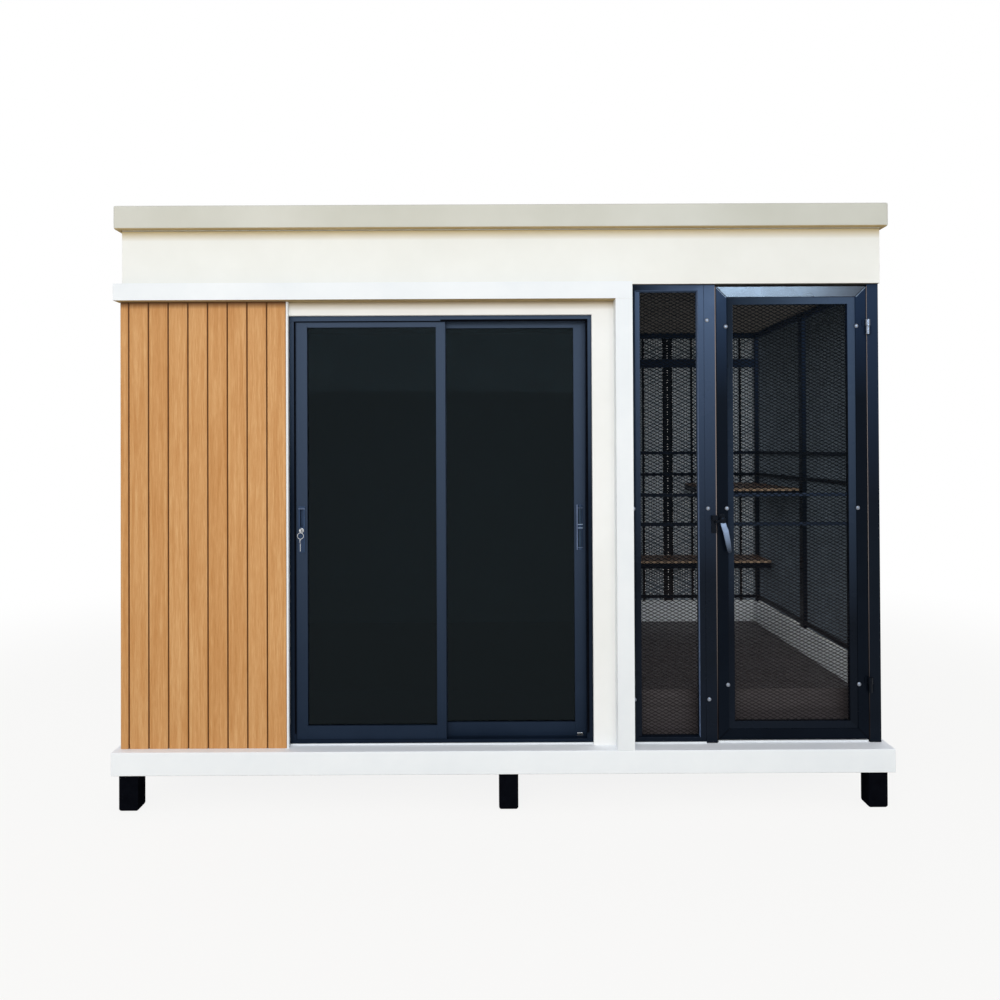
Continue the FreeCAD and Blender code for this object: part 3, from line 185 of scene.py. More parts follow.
def boarded(name, colours, across, along, board, first, seam, grain, roughness, climb=None):
    """Wood in boards: each board has its own tone, streaks run along it, and the seams are darkened with dirt and
    painted shade.

    The boards' width, the place of the first, the seams and the grain are in millimetres.
    """
    material, tree, output = new_material(name)
    place = add(tree, "TexCoord", {}).outputs["Object"]
    axes = add(tree, "SeparateXYZ", {"Vector": place}).outputs
    count = add(tree, "Math", {0: axes[across], 1: first * MM}, operation="SUBTRACT")
    count = add(tree, "Math", {0: count.outputs[0], 1: board * MM}, operation="DIVIDE")
    number = add(tree, "Math", {0: count.outputs[0]}, operation="FLOOR")
    chance = add(tree, "TexWhiteNoise", {"W": number.outputs[0]}, noise_dimensions="1D")
    shift = add(tree, "VectorMath", {0: chance.outputs["Color"], "Scale": BOARD_SHIFT}, operation="SCALE")
    moved = add(tree, "VectorMath", {0: place, 1: shift.outputs[0]}, operation="ADD")
    stretch = [1.0, 1.0, 1.0]
    stretch["XYZ".index(along)] = GRAIN_STRETCH
    run = add(tree, "Mapping", {"Vector": moved.outputs[0], "Scale": stretch})
    figure = add(
        tree,
        "TexNoise",
        {
            "Vector": run.outputs[0],
            "Scale": per_metre(grain * FIGURE_WIDTHS),
            "Detail": 5.0,
            "Distortion": 0.6,
        },
    )
    streaks = add(
        tree,
        "TexNoise",
        {"Vector": run.outputs[0], "Scale": per_metre(grain), "Detail": 3.0, "Roughness": 0.7},
    )
    blend = add(
        tree,
        "Mix",
        {"Factor": 0.55, "A": figure.outputs["Fac"], "B": streaks.outputs["Fac"]},
        data_type="FLOAT",
    )
    lift = add(
        tree,
        "MapRange",
        {"Value": chance.outputs["Value"], "To Min": -BOARD_TONE, "To Max": BOARD_TONE},
    )
    total = add(tree, "Math", {0: blend.outputs[0], 1: lift.outputs[0]}, operation="ADD")
    tone = add(
        tree,
        "ValToRGB",
        {"Fac": total.outputs[0]},
        stops=((0.3, colours[0]), (0.66, colours[2]), (0.5, colours[1])),
    )
    inside = add(tree, "Math", {0: count.outputs[0]}, operation="FRACT")
    edge = add(tree, "Math", {0: inside.outputs[0], 1: 0.5}, operation="PINGPONG")
    # Boards darken at their edges: dirt and painted shade in the seams
    dark = add(
        tree,
        "MapRange",
        {
            "Value": edge.outputs[0],
            "From Min": seam / board * SEAM_CORE,
            "From Max": seam / board,
            "To Min": 1.0,
            "To Max": 0.0,
        },
    )
    tone_with_painted_shade = add(
        tree,
        "Mix",
        {0: dark.outputs[0], 6: tone.outputs["Color"], 7: linear(colours[3])},
        data_type="RGBA",
    ).outputs[2]
    if climb:
        tone_with_painted_shade = climbed(tree, place, tone_with_painted_shade, climb)
    relief = add(
        tree,
        "Bump",
        {"Height": streaks.outputs["Fac"], "Strength": 0.35, "Distance": GRAIN_RELIEF},
    )
    shader = add(
        tree,
        "BsdfPrincipled",
        {
            "Base Color": tone_with_painted_shade,
            "Roughness": roughness,
            "Specular IOR Level": 0.35,
            "Normal": relief.outputs["Normal"],
        },
    )
    tree.links.new(shader.outputs["BSDF"], output.inputs["Surface"])
    return material


finishes = {}

# Painted fibre-cement board: chalky white, faint roller drifts, nearly matt
finishes["white_panel"] = coated(
    "painted_fibre_cement_board", "#EDEEEA", "#E6E7E2",
    mottle=420, peel=3, peel_height=0.05, roughness=0.55, shine=0.2,
)
# The same board up to the roof, with painted tan shade under the eaves
finishes["eaves_board_painted_shade"] = coated(
    "fibre_cement_board_painted_eaves_shade", "#EDEEEA", "#E6E7E2",
    mottle=420, peel=3, peel_height=0.05, roughness=0.55, shine=0.2,
    climb=("#C2B189", 2.23, 2.266),
)
# Painted board in the recess around the sliding door: white, with painted tan shade under the header
finishes["recess_board_painted_shade"] = coated(
    "painted_board_with_header_shade", "#F4F5F4", "#EDEEEC",
    mottle=420, peel=3, peel_height=0.05, roughness=0.55, shine=0.2,
    climb=("#A38D63", 1.952, 1.99),
)
# Top of the plinth's ledge: the brightest white, faintly blue, painted as the skylight on it
finishes["ledge_painted_skylight"] = coated(
    "white_ledge_painted_skylight", "#FAFCFF", "#F2F6FB",
    mottle=300, peel=4, peel_height=0.04, roughness=0.5, shine=0.1,
)
# Fresh paint on the faces of the plinth: cool white, soft shine
finishes["plinth_paint"] = coated(
    "fresh_plinth_paint", "#F4F8FB", "#EDF2F6",
    mottle=350, peel=4, peel_height=0.04, roughness=0.42, shine=0.2,
)
# Gloss-painted timber trim: cooler white, soft shine, brush-smooth
finishes["white_trim"] = coated(
    "gloss_painted_timber", "#EDF1F4", "#E5EAEE",
    mottle=350, peel=4, peel_height=0.04, roughness=0.38, shine=0.25,
)
# Prepainted sheet steel: pale grey-cream, slight oil-canning in its tone
finishes["fascia_metal"] = coated(
    "prepainted_sheet_steel", "#CECEC5", "#C2C2B7",
    mottle=600, peel=5, peel_height=0.05, roughness=0.42, shine=0.3,
)
# Wood-grain composite planks: honey brown, long fine streaks, V-joints darkened with dirt and painted shade, painted
# shade under the header
finishes["wood_cladding"] = boarded(
    "wood_grain_planks_painted_shade",
    ("#B2783C", "#C59058", "#D5A670", "#5E3813"),
    across="X", along="Z", board=77.5, first=-1466.0, seam=4.0, grain=2.2, roughness=0.5,
    climb=("#5C3A1E", 1.958, 1.984),
)
# Sheet flooring with a wood print: dark grey-brown, low sheen
finishes["floor_brown"] = boarded(
    "wood_print_sheet_flooring",
    ("#413D3E", "#4F4A4B", "#5C5759", "#1D1A1B"),
    across="Y", along="X", board=4000.0, first=-2000.0, seam=4.0, grain=3.0, roughness=0.45,
)
# Sawn softwood under the floor: pale, dry
finishes["bare_timber"] = boarded(
    "sawn_softwood",
    ("#A98556", "#BF9B6A", "#D0AF80", "#7A5C38"),
    across="Y", along="X", board=140.0, first=0.0, seam=2.0, grain=3.0, roughness=0.7,
)
# Oiled shelf boards: dark red-brown, close grain
finishes["shelf_wood"] = boarded(
    "oiled_shelf_boards",
    ("#4A3423", "#5C4330", "#6D513B", "#2B1B10"),
    across="Y", along="X", board=130.0, first=44.0, seam=2.0, grain=2.5, roughness=0.45,
)
# Edge strip of the shelves: paler wood, painted as the highlight on their lit front edge
finishes["shelf_edge_painted_highlight"] = boarded(
    "shelf_edge_wood_painted_highlight",
    ("#927A62", "#A38A71", "#B39A81", "#6E5843"),
    across="Y", along="X", board=400.0, first=0.0, seam=1.0, grain=2.0, roughness=0.55,
)
# Powder-coated aluminium of the fixed frame: blue-black, with a painted steel-blue sky reflection rising to its head
finishes["dark_aluminium"] = coated(
    "powder_coated_aluminium_painted_sheen", "#121C2B", "#0E1724",
    mottle=240, peel=1.5, peel_height=0.05, roughness=0.36, shine=0.12, tint=BLUE_SHEEN,
    climb=("#3C4A5F", 1.2, 1.95),
)
# Powder-coated aluminium of the sashes: a little lighter, with a painted steel-blue sky reflection towards the top
finishes["sash_aluminium_painted_sheen"] = coated(
    "sash_powder_coat_painted_sheen", "#1C2839", "#172232",
    mottle=240, peel=1.5, peel_height=0.05, roughness=0.36, shine=0.12, tint=BLUE_SHEEN,
    climb=("#3F4C60", 0.25, 1.9),
)
# Enamelled steel tube: blue-black, glossier than the aluminium, with a painted steel-blue sky reflection above
finishes["black_steel"] = coated(
    "enamelled_steel_painted_sheen", "#0F151F", "#0C1119",
    mottle=160, peel=6, peel_height=0.12, roughness=0.27, shine=0.12, tint=BLUE_SHEEN,
    climb=("#40506A", 0.9, 2.0),
)
# Enamelled door bars: nearly black faces, with a painted navy sheen only at the top
finishes["door_enamel_painted_sheen"] = coated(
    "enamelled_door_bars_painted_sheen", "#0B111A", "#080D15",
    mottle=160, peel=6, peel_height=0.12, roughness=0.24, shine=0.06, tint=BLUE_SHEEN,
    climb=("#1B2A42", 1.6, 2.05),
)
# Enamelled posts, rails and shelf brackets of the run: dull blue-black, with a faint painted sheen above
finishes["post_enamel_painted_sheen"] = coated(
    "enamelled_run_posts_painted_sheen", "#10161F", "#0C1119",
    mottle=160, peel=6, peel_height=0.12, roughness=0.3, shine=0.08, tint=BLUE_SHEEN,
    climb=("#223047", 1.2, 2.05),
)
# Polished enamel of the top bar: the same coat rubbed up, mirrors the sky
finishes["top_bar_gloss"] = coated(
    "polished_top_bar_enamel", "#142033", "#0F1928",
    mottle=400, peel=6, peel_height=0.01, roughness=0.22, shine=0.55,
)
# Bevel inside the door bars: the enamel painted lighter as a lit face, with a painted steel-blue sheen towards the
# top
finishes["door_bevel_painted_sheen"] = coated(
    "door_bevel_enamel_painted_light", "#090E17", "#070B12",
    mottle=160, peel=6, peel_height=0.12, roughness=0.27, shine=0.12, tint=BLUE_SHEEN,
    climb=("#42536C", 0.7, 2.05),
)
# Dipped expanded steel: black, dull, dusty near the floor
finishes["black_mesh"] = coated(
    "dip_coated_expanded_steel", "#2E2B2D", "#272426",
    mottle=60, peel=1.5, peel_height=0.05, roughness=0.6, shine=0.0,
    climb=("#15191E", 0.5, 1.1),
)
# Inner faces of the rear sheet: light blue-grey, painted as the daylight seen through the open mesh
finishes["rear_mesh_painted_daylight"] = coated(
    "rear_strands_painted_daylight", "#939EA8", "#838E98",
    mottle=90, peel=1.5, peel_height=0.05, roughness=0.6, shine=0.0,
)
# Inner faces of the side sheets: dull blue-grey, painted as the daylight seen through the open mesh
finishes["side_mesh_painted_daylight"] = coated(
    "side_strands_painted_daylight", "#76828D", "#69747E",
    mottle=90, peel=1.5, peel_height=0.05, roughness=0.6, shine=0.0,
)
# Painted ceiling board of the run and the room: charcoal, matt
finishes["dark_ceiling"] = coated(
    "charcoal_ceiling_board", "#6A6766", "#5D5A59",
    mottle=300, peel=3, peel_height=0.05, roughness=0.7, shine=0.05,
)
# Moulded rubber feet and gaskets: matt black
finishes["foot_black"] = coated(
    "moulded_black_rubber", "#0C0E14", "#08090E",
    mottle=30, peel=1.2, peel_height=0.1, roughness=0.6, shine=0.0,
)
# Undersides of the fascia and the header: tan painted shade
finishes["underside_painted_shade"] = coated(
    "underside_painted_shade", "#B5A078", "#A7926B",
    mottle=200, peel=3, peel_height=0.05, roughness=0.7, shine=0.05,
)
# Zinc-plated steel: mid grey, softly bright
finishes["grey_hinge"] = coated(
    "zinc_plated_steel", "#8C929C", "#747A85",
    mottle=12, peel=0.8, peel_height=0.03, roughness=0.34, metallic=0.9,
)
# Nickel-plated brass: bright, fine wear
finishes["bright_lock"] = coated(
    "nickel_plated_brass", "#E6E6E6", "#C6C8CA",
    mottle=8, peel=0.6, peel_height=0.02, roughness=0.22, metallic=1.0,
)
# Lacquered die-cast zinc: black, satin
finishes["black_handle"] = coated(
    "lacquered_die_cast_zinc", "#080B11", "#06080D",
    mottle=40, peel=5, peel_height=0.08, roughness=0.3, shine=0.15, tint=BLUE_SHEEN,
)
# Polished black lacquer of the lever, with a pale blue highlight painted on its upper part
finishes["lever_painted_highlight"] = coated(
    "black_lacquer_painted_highlight", "#141C2A", "#101723",
    mottle=40, peel=5, peel_height=0.05, roughness=0.24, shine=0.6, tint=BLUE_SHEEN,
    climb=("#93A8C8", 0.995, 1.098),
)
# Anodised plate of the flush pulls: blue-grey, satin
finishes["anodised_plate"] = coated(
    "anodised_blue_grey_plate", "#34455F", "#2C3B53",
    mottle=40, peel=1.2, peel_height=0.03, roughness=0.3, shine=0.2, tint=BLUE_SHEEN,
)
# Floors of the right pull's recesses: the same anodising in a lighter, deeper blue, painted as the light on them
finishes["recess_floor_painted_light"] = coated(
    "anodised_recess_floor_painted_light", "#3A5069", "#31455C",
    mottle=40, peel=1.2, peel_height=0.03, roughness=0.4, shine=0.2,
)
# Rims of the flush pulls and the bevel of the fixed frame: the same anodising painted lighter as a highlight
finishes["anodised_painted_highlight"] = coated(
    "anodised_rim_painted_highlight", "#5A6A86", "#4C5B76",
    mottle=30, peel=1.2, peel_height=0.03, roughness=0.28, shine=0.3,
)
# Ribs across the flush pull and edges beside the door's upper mitres: bright blue-white painted highlights
finishes["bright_painted_highlight"] = coated(
    "bright_rib_painted_highlight", "#9DB2CC", "#8EA3BE",
    mottle=30, peel=1.2, peel_height=0.03, roughness=0.28, shine=0.3,
)
# Keyway of the lock: brown painted shade
finishes["keyway_painted_shade"] = coated(
    "keyway_brown_painted_shade", "#5E4838", "#4C3A2D",
    mottle=6, peel=0.6, peel_height=0.03, roughness=0.5, shine=0.2,
)
# Strips in the gaps beside the mesh door: matt, a greyish tan painted as the light seen through the gaps, darker
# towards the floor
finishes["door_gap_painted_light"] = coated(
    "door_gap_strip_painted_light", "#2A2424", "#231E1E",
    mottle=20, peel=1.5, peel_height=0.1, roughness=0.8, shine=0.1,
    climb=("#877D7A", 0.35, 1.1),
)
# Turned nylon: milky off-white, waxy
finishes["nylon_roller"] = coated(
    "turned_nylon", "#DEDAD0", "#CFCABE",
    mottle=6, peel=0.8, peel_height=0.03, roughness=0.4, waxiness=0.05,
)


def tinted_glass():
    """Grey solar glass: lets a little through, and its faint reflection is uneven with dust."""
    material, tree, output = new_material("grey_solar_glass")
    place = add(tree, "TexCoord", {}).outputs["Object"]
    dust = add(tree, "TexNoise", {"Vector": place, "Scale": per_metre(180), "Detail": 5.0})
    haze = add(
        tree,
        "MapRange",
        {"Value": dust.outputs["Fac"], "From Min": 0.4, "From Max": 0.8, "To Min": 0.01, "To Max": 0.04},
    )
    shader = add(
        tree,
        "BsdfPrincipled",
        {
            "Base Color": linear("#3A474D"),
            "Roughness": haze.outputs["Result"],
            "IOR": 1.26,
            "Specular Tint": linear("#CFE8F4"),
            "Transmission Weight": 1.0,
        },
    )
    tree.links.new(shader.outputs["BSDF"], output.inputs["Surface"])
    return material


finishes["tinted_glass"] = tinted_glass()


def dress(piece, finish):
    """Gives a piece the finish of all its faces that aren't painted apart."""
    piece.data.materials.clear()
    piece.data.materials.append(finishes[finish])


OWN_FINISH = {
    "sash_aluminium_painted_sheen": (
        "left_lock_stile", "left_meeting_stile", "left_sash_rails",
        "right_pull_stile", "right_meeting_stile", "right_sash_rails",
    ),
    "door_enamel_painted_sheen": ("mesh_door_frame",),
    "post_enamel_painted_sheen": ("run_posts", "run_rails", "shelf_frames"),
    "eaves_board_painted_shade": ("upper_panels", "left_wall", "rear_wall"),
    "dark_ceiling": ("ceiling_panel",),
    "recess_board_painted_shade": ("front_wall_panels",),
    "lever_painted_highlight": ("handle_lever",),
    "anodised_plate": ("lock_escutcheon", "right_flush_pull"),
}
for name, item in nodes.items():
    dress(item, slots[name])
for finish, names in OWN_FINISH.items():
    for name in names:
        dress(nodes[name], finish)


def new_piece(name, points, faces, slot, body, *replaced, finish=None):
    """A mesh piece on a body, standing for the nodes it replaces."""
    mesh = bpy.data.meshes.new(name)
    mesh.from_pydata(points, [], faces)
    mesh.update()
    piece = bpy.data.objects.new(name, mesh)
    scene.collection.objects.link(piece)
    dress(piece, finish or slot)
    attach(piece, body)
    if replaced:
        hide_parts(*replaced)
    return piece


# Cosines that sort faces by the way they look
STRAIGHT = 0.999
MAINLY = 0.9
PARTLY = 0.5
SLIGHTLY = 0.2


def paint(piece, finish, chosen):
    """Gives a further finish to the faces that a test on their centre and normal picks out."""
    piece.data.materials.append(finishes[finish])
    index = len(piece.data.materials) - 1
    for face in piece.data.polygons:
        if chosen(face.center, face.normal):
            face.material_index = index


def solids(node):
    """The low and the high corner of each separate solid of a node, in the order of its mesh."""
    work = bmesh.new()
    work.from_mesh(nodes[node].data)
    bmesh.ops.remove_doubles(work, verts=work.verts, dist=MERGE)
    seen = set()
    boxes = []
    for vertex in work.verts:
        if vertex in seen:
            continue
        seen.add(vertex)
        reached = [vertex]
        for corner in reached:
            for edge in corner.link_edges:
                other = edge.other_vert(corner)
                if other not in seen:
                    seen.add(other)
                    reached.append(other)
        columns = list(zip(*(corner.co for corner in reached)))
        boxes.append((Vector(map(min, columns)), Vector(map(max, columns))))
    work.free()
    return boxes


# Expanded metal: 1.5 mm strands turned out of the sheet, in diamonds of 29 by 14 mm
LONG_WAY = 29 * MM
SHORT_WAY = 14 * MM
STRAND_THICKNESS = 1.5 * MM


def expanded_metal(low, high, across, strand, turn):
    """Rows of zig-zag strands between two corners, in a sheet that runs along the named axis."""
    along = Vector((1, 0, 0)) if across == "X" else Vector((0, 1, 0))
    out = Vector((0, -1, 0)) if across == "X" else Vector((1, 0, 0))
    up = Vector((0, 0, 1))
    middle = (low + high) / 2
    start = Vector((low.x, middle.y, low.z)) if across == "X" else Vector((middle.x, low.y, low.z))
    width = (high - low).dot(along)
    height = high.z - low.z
    columns = round(width / (LONG_WAY / 2))
    rows = round(height / (SHORT_WAY / 2))
    run = width / columns
    rise = height / rows
    lean = math.radians(turn)
    wide = (up * math.cos(lean) + out * math.sin(lean)) * strand * MM / 2
    thick = (out * math.cos(lean) - up * math.sin(lean)) * STRAND_THICKNESS / 2
    section = (wide + thick, thick - wide, -wide - thick, wide - thick)
    points = []
    faces = []
    for row in range(rows):
        first = len(points)
        for column in range(columns + 1):
            level = row + (row + column) % 2
            centre = start + along * (run * column) + up * (rise * level)
            points.extend(centre + corner for corner in section)
        for column in range(columns):
            near = first + 4 * column
            for side in range(4):
                after = (side + 1) % 4
                faces.append((near + side, near + after, near + 4 + after, near + 4 + side))
        last = first + 4 * columns
        faces.append((first + 3, first + 2, first + 1, first))
        faces.append((last, last + 1, last + 2, last + 3))
    return points, faces


def lets_light_in(piece):
    """Daylight comes through an open mesh into the run: it throws no shade."""
    piece.visible_shadow = False
    piece.visible_diffuse = False


# Width of a strand in millimetres and its turn out of the sheet in degrees. Those of the run's rear and side walls
# are drawn wider than real ones, so that the walls show as dark from afar.
FRONT_STRAND = (3.4, 50)
REAR_STRAND = (11.6, 14)
SIDE_STRAND = (11.9, 14)
for node, body in (("fixed_panel_mesh", "house"), ("mesh_door_mesh", "mesh_door")):
    points, faces = expanded_metal(*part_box(node), "X", *FRONT_STRAND)
    new_piece(node + "_strands", points, faces, slots[node], body, node)
points, faces = expanded_metal(*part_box("run_rear_mesh"), "X", *REAR_STRAND)
piece = new_piece("run_rear_mesh_strands", points, faces, slots["run_rear_mesh"], "house", "run_rear_mesh")

# The rear sheet's inner faces are painted light as daylight, and stay black as a painted shadow where an upright
# stands behind them
UPRIGHTS_FROM = 0.746
UPRIGHT_HALF_WIDTH = 9 * MM
uprights = [(low.x + high.x) / 2 for low, high in solids("run_rails") if low.y > UPRIGHTS_FROM]
paint(
    piece,
    "rear_mesh_painted_daylight",
    lambda centre, normal: normal.y < -PARTLY
    and all(abs(centre.x - x) > UPRIGHT_HALF_WIDTH for x in uprights),
)
lets_light_in(piece)

# The side wall has one sheet each side of the mid post
for number, (low, high) in enumerate(solids("run_side_mesh"), start=1):
    points, faces = expanded_metal(low, high, "Y", *SIDE_STRAND)
    name = f"run_side_mesh_{number}_strands"
    piece = new_piece(name, points, faces, slots["run_side_mesh"], "house", "run_side_mesh")
    # Inner faces painted light, as the daylight seen through the mesh
    paint(piece, "side_mesh_painted_daylight", lambda centre, normal: normal.x < -PARTLY)
    lets_light_in(piece)


# Arrises: the boards, bars and fittings that show have their edges rounded as the real ones have
def round_off(piece, radius, segments):
    """Rounds the sharp edges of a piece."""
    piece.data.shade_smooth()
    piece.data.set_sharp_from_angle(angle=SHARP)
    bevel = piece.modifiers.new("arris", "BEVEL")
    bevel.width = radius * MM
    bevel.segments = segments
    bevel.limit_method = "ANGLE"
    bevel.angle_limit = SHARP
    bevel.harden_normals = True
    bevel.use_clamp_overlap = True


def softened(node, radius):
    """A copy of a node with rounded arrises, standing for it on the same body."""
    source = nodes[node]
    mesh = source.data.copy()
    work = bmesh.new()
    work.from_mesh(mesh)
    bmesh.ops.remove_doubles(work, verts=work.verts, dist=MERGE)
    bmesh.ops.dissolve_limit(work, angle_limit=FLAT, verts=work.verts, edges=work.edges)
    work.to_mesh(mesh)
    work.free()
    if "custom_normal" in mesh.attributes:
        mesh.attributes.remove(mesh.attributes["custom_normal"])
    piece = bpy.data.objects.new(node + "_rounded", mesh)
    scene.collection.objects.link(piece)
    round_off(piece, radius, 2)
    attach(piece, source["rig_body"])
    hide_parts(node)
    return piece


def ring(node, finish, radius):
    """The four boards of a node as one mitred ring with rounded arrises."""
    corners = [corner.co for corner in nodes[node].data.vertices]
    xs, ys, zs = (sorted({round(corner[axis], 5) for corner in corners}) for axis in range(3))
    outside = (xs[0], ys[0]), (xs[-1], ys[0]), (xs[-1], ys[-1]), (xs[0], ys[-1])
    inside = (xs[1], ys[1]), (xs[-2], ys[1]), (xs[-2], ys[-2]), (xs[1], ys[-2])
    points = [(x, y, z) for z in (zs[0], zs[-1]) for x, y in outside + inside]
    faces = []
    for near in range(4):
        far = (near + 1) % 4
        faces.append((near, far, far + 8, near + 8))
        faces.append((near + 8, far + 8, far + 12, near + 12))
        faces.append((near + 12, far + 12, far + 4, near + 4))
        faces.append((near + 4, far + 4, far, near))
    piece = new_piece(node + "_rounded", points, faces, slots[node], "house", node, finish=finish)
    round_off(piece, radius, 3)
    return piece


# Radius of the arrises in millimetres, and the nodes that have it
ARRISES = {
    4.0: ("feet",),
    2.5: ("roof_panel",),
    2.0: ("upper_panels", "left_wall", "rear_wall", "run_posts", "mullion"),
    1.5: ("kick_panels", "run_skirting", "shelf_boards", "shelf_frames", "run_rails"),
    1.2: ("mesh_door_frame", "fixed_panel_frame", "mesh_door_bars"),
    0.8: (
        "sliding_frame_head", "sliding_frame_sill", "sliding_frame_jambs", "left_lock_stile", "left_meeting_stile",
        "left_sash_rails", "right_pull_stile", "right_meeting_stile", "right_sash_rails", "handle_keeper",
        "handle_base", "cladding_planks", "hinge_door_knuckles", "hinge_post_knuckles",
    ),
    0.5: ("header_band", "side_band", "lock_escutcheon", "right_flush_pull", "lock_cylinder"),
    0.3: ("door_key", "spare_key", "key_ring"),
}
rounded = {name: softened(name, radius) for radius, names in ARRISES.items() for name in names}
rounded["roof_fascia"] = ring("roof_fascia", "fascia_metal", 8.0)
rounded["plinth"] = ring("plinth", "plinth_paint", 4.0)

# Faces with a finish of their own: the door bars' slanted faces painted lighter as lit faces and their polished top,
# painted tan shade under the boards at the front, the soffit over the run painted charcoal as shade, the ledge
# painted brighter as skylight, a painted highlight on the bevel of the fixed frame, the lower hinge painted black as
# a dark reflection, and the hinge tabs enamelled with the door
TOP_BAR_FOOT = 2.0
BETWEEN_HINGES = 1.0
HINGE_GAP = 2 * MM
KNUCKLE_REACH = 9.6 * MM
door_low, door_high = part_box("mesh_door_frame")
hinge_line = door_high.x + HINGE_GAP
paint(rounded["mesh_door_frame"], "door_bevel_painted_sheen", lambda centre, normal: -STRAIGHT < normal.y < -MAINLY)
paint(
    rounded["mesh_door_frame"],
    "top_bar_gloss",
    lambda centre, normal: normal.y < -STRAIGHT and centre.z > TOP_BAR_FOOT,
)
for name in ("roof_fascia", "header_band"):
    paint(rounded[name], "underside_painted_shade", lambda centre, normal: normal.z < -MAINLY)
# The underside of the upper panels over the run is painted charcoal as shade
paint(rounded["upper_panels"], "dark_ceiling", lambda centre, normal: normal.z < -MAINLY)
paint(rounded["plinth"], "ledge_painted_skylight", lambda centre, normal: normal.z > MAINLY)
paint(
    rounded["fixed_panel_frame"],
    "anodised_painted_highlight",
    lambda centre, normal: -STRAIGHT < normal.y < -SLIGHTLY and normal.x < -SLIGHTLY,
)
for name in ("hinge_door_knuckles", "hinge_post_knuckles"):
    # The lower hinge's knuckles are painted black as a dark reflection of the ground
    paint(rounded[name], "black_handle", lambda centre, normal: centre.z < BETWEEN_HINGES)
    paint(rounded[name], "door_enamel_painted_sheen", lambda centre, normal: abs(centre.x - hinge_line) > KNUCKLE_REACH)

# The walls of the finger recesses are painted black as shade, and the floors of the right pull's recesses lighter
# blue as painted light
RECESS_DEPTH = 5 * MM
pull_low, pull_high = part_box("right_flush_pull")
for name in ("lock_escutcheon", "right_flush_pull"):
    paint(rounded[name], "black_handle", lambda centre, normal: abs(normal.x) > PARTLY)
paint(
    rounded["right_flush_pull"],
    "recess_floor_painted_light",
    lambda centre, normal: normal.y < -MAINLY and centre.y > pull_low.y + RECESS_DEPTH,
)

BOX_SIDES = ((0, 2, 3, 1), (4, 5, 7, 6), (0, 1, 5, 4), (2, 6, 7, 3), (0, 4, 6, 2), (1, 3, 7, 5))


def add_box(points, faces, low, high):
    """Adds a box between two corners."""
    first = len(points)
    points.extend(
        Vector((x, y, z)) for z in (low[2], high[2]) for y in (low[1], high[1]) for x in (low[0], high[0])
    )
    faces.extend(tuple(first + corner for corner in side) for side in BOX_SIDES)


def bars(name, boxes, radius, slot, body, finish):
    """Straight strips between pairs of corners, rounded, as one trim piece."""
    points = []
    faces = []
    for low, high in boxes:
        add_box(points, faces, low, high)
    piece = new_piece(name, points, faces, slot, body, finish=finish)
    round_off(piece, radius, 3)


# White bead that closes the gap between the cladding and the sliding frame
CLAD_LAP = 1.6 * MM
CLAD_PROUD = 0.8 * MM
JAMB_LAP = 2 * MM
left_jamb, right_jamb = sorted(solids("sliding_frame_jambs"), key=lambda box: box[0].x)
clad_low, clad_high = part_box("cladding_planks")
bead_low = clad_high.x - CLAD_LAP, clad_low.y - CLAD_PROUD, clad_low.z
bead_high = left_jamb[0].x + JAMB_LAP, clad_high.y, clad_high.z
bars("cladding_bead", [(bead_low, bead_high)], 1.0, "white_trim", "house", "white_trim")

# White bead over the left end of the front wall
CORNER_PROUD = 1.6 * MM
CORNER_SUNK = 0.4 * MM
wall_low, wall_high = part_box("front_wall_panels")
bead_low = wall_low.x - CORNER_PROUD, wall_low.y, wall_low.z
bead_high = wall_low.x + CORNER_SUNK, wall_high.y, wall_high.z
bars("corner_bead", [(bead_low, bead_high)], 0.5, "white_trim", "house", "white_panel")

# White beads of sealant under the sliding frame and the fixed panel, and the strip under the mesh door
SEALANT_WIDTH = 5 * MM
SEALANT_HEIGHT = 6 * MM
FIXED_PANEL_LEFT = 510 * MM
FIXED_PANEL_RIGHT = 806 * MM
STRIP_FRONT = 4 * MM
STRIP_BACK = 18 * MM
STRIP_HEIGHT = 8 * MM
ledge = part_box("plinth")[1].z
bars(
    "threshold_beads",
    [
        (
            (left_jamb[0].x, left_jamb[0].y - SEALANT_WIDTH, ledge),
            (right_jamb[1].x, left_jamb[0].y, ledge + SEALANT_HEIGHT),
        ),
        (
            (FIXED_PANEL_LEFT, door_low.y - SEALANT_WIDTH, ledge),
            (FIXED_PANEL_RIGHT, door_low.y, ledge + SEALANT_HEIGHT),
        ),
        (
            (door_low.x, door_low.y + STRIP_FRONT, ledge),
            (door_high.x, door_low.y + STRIP_BACK, ledge + STRIP_HEIGHT),
        ),
    ],
    1.0, "white_trim", "house", "white_trim",
)

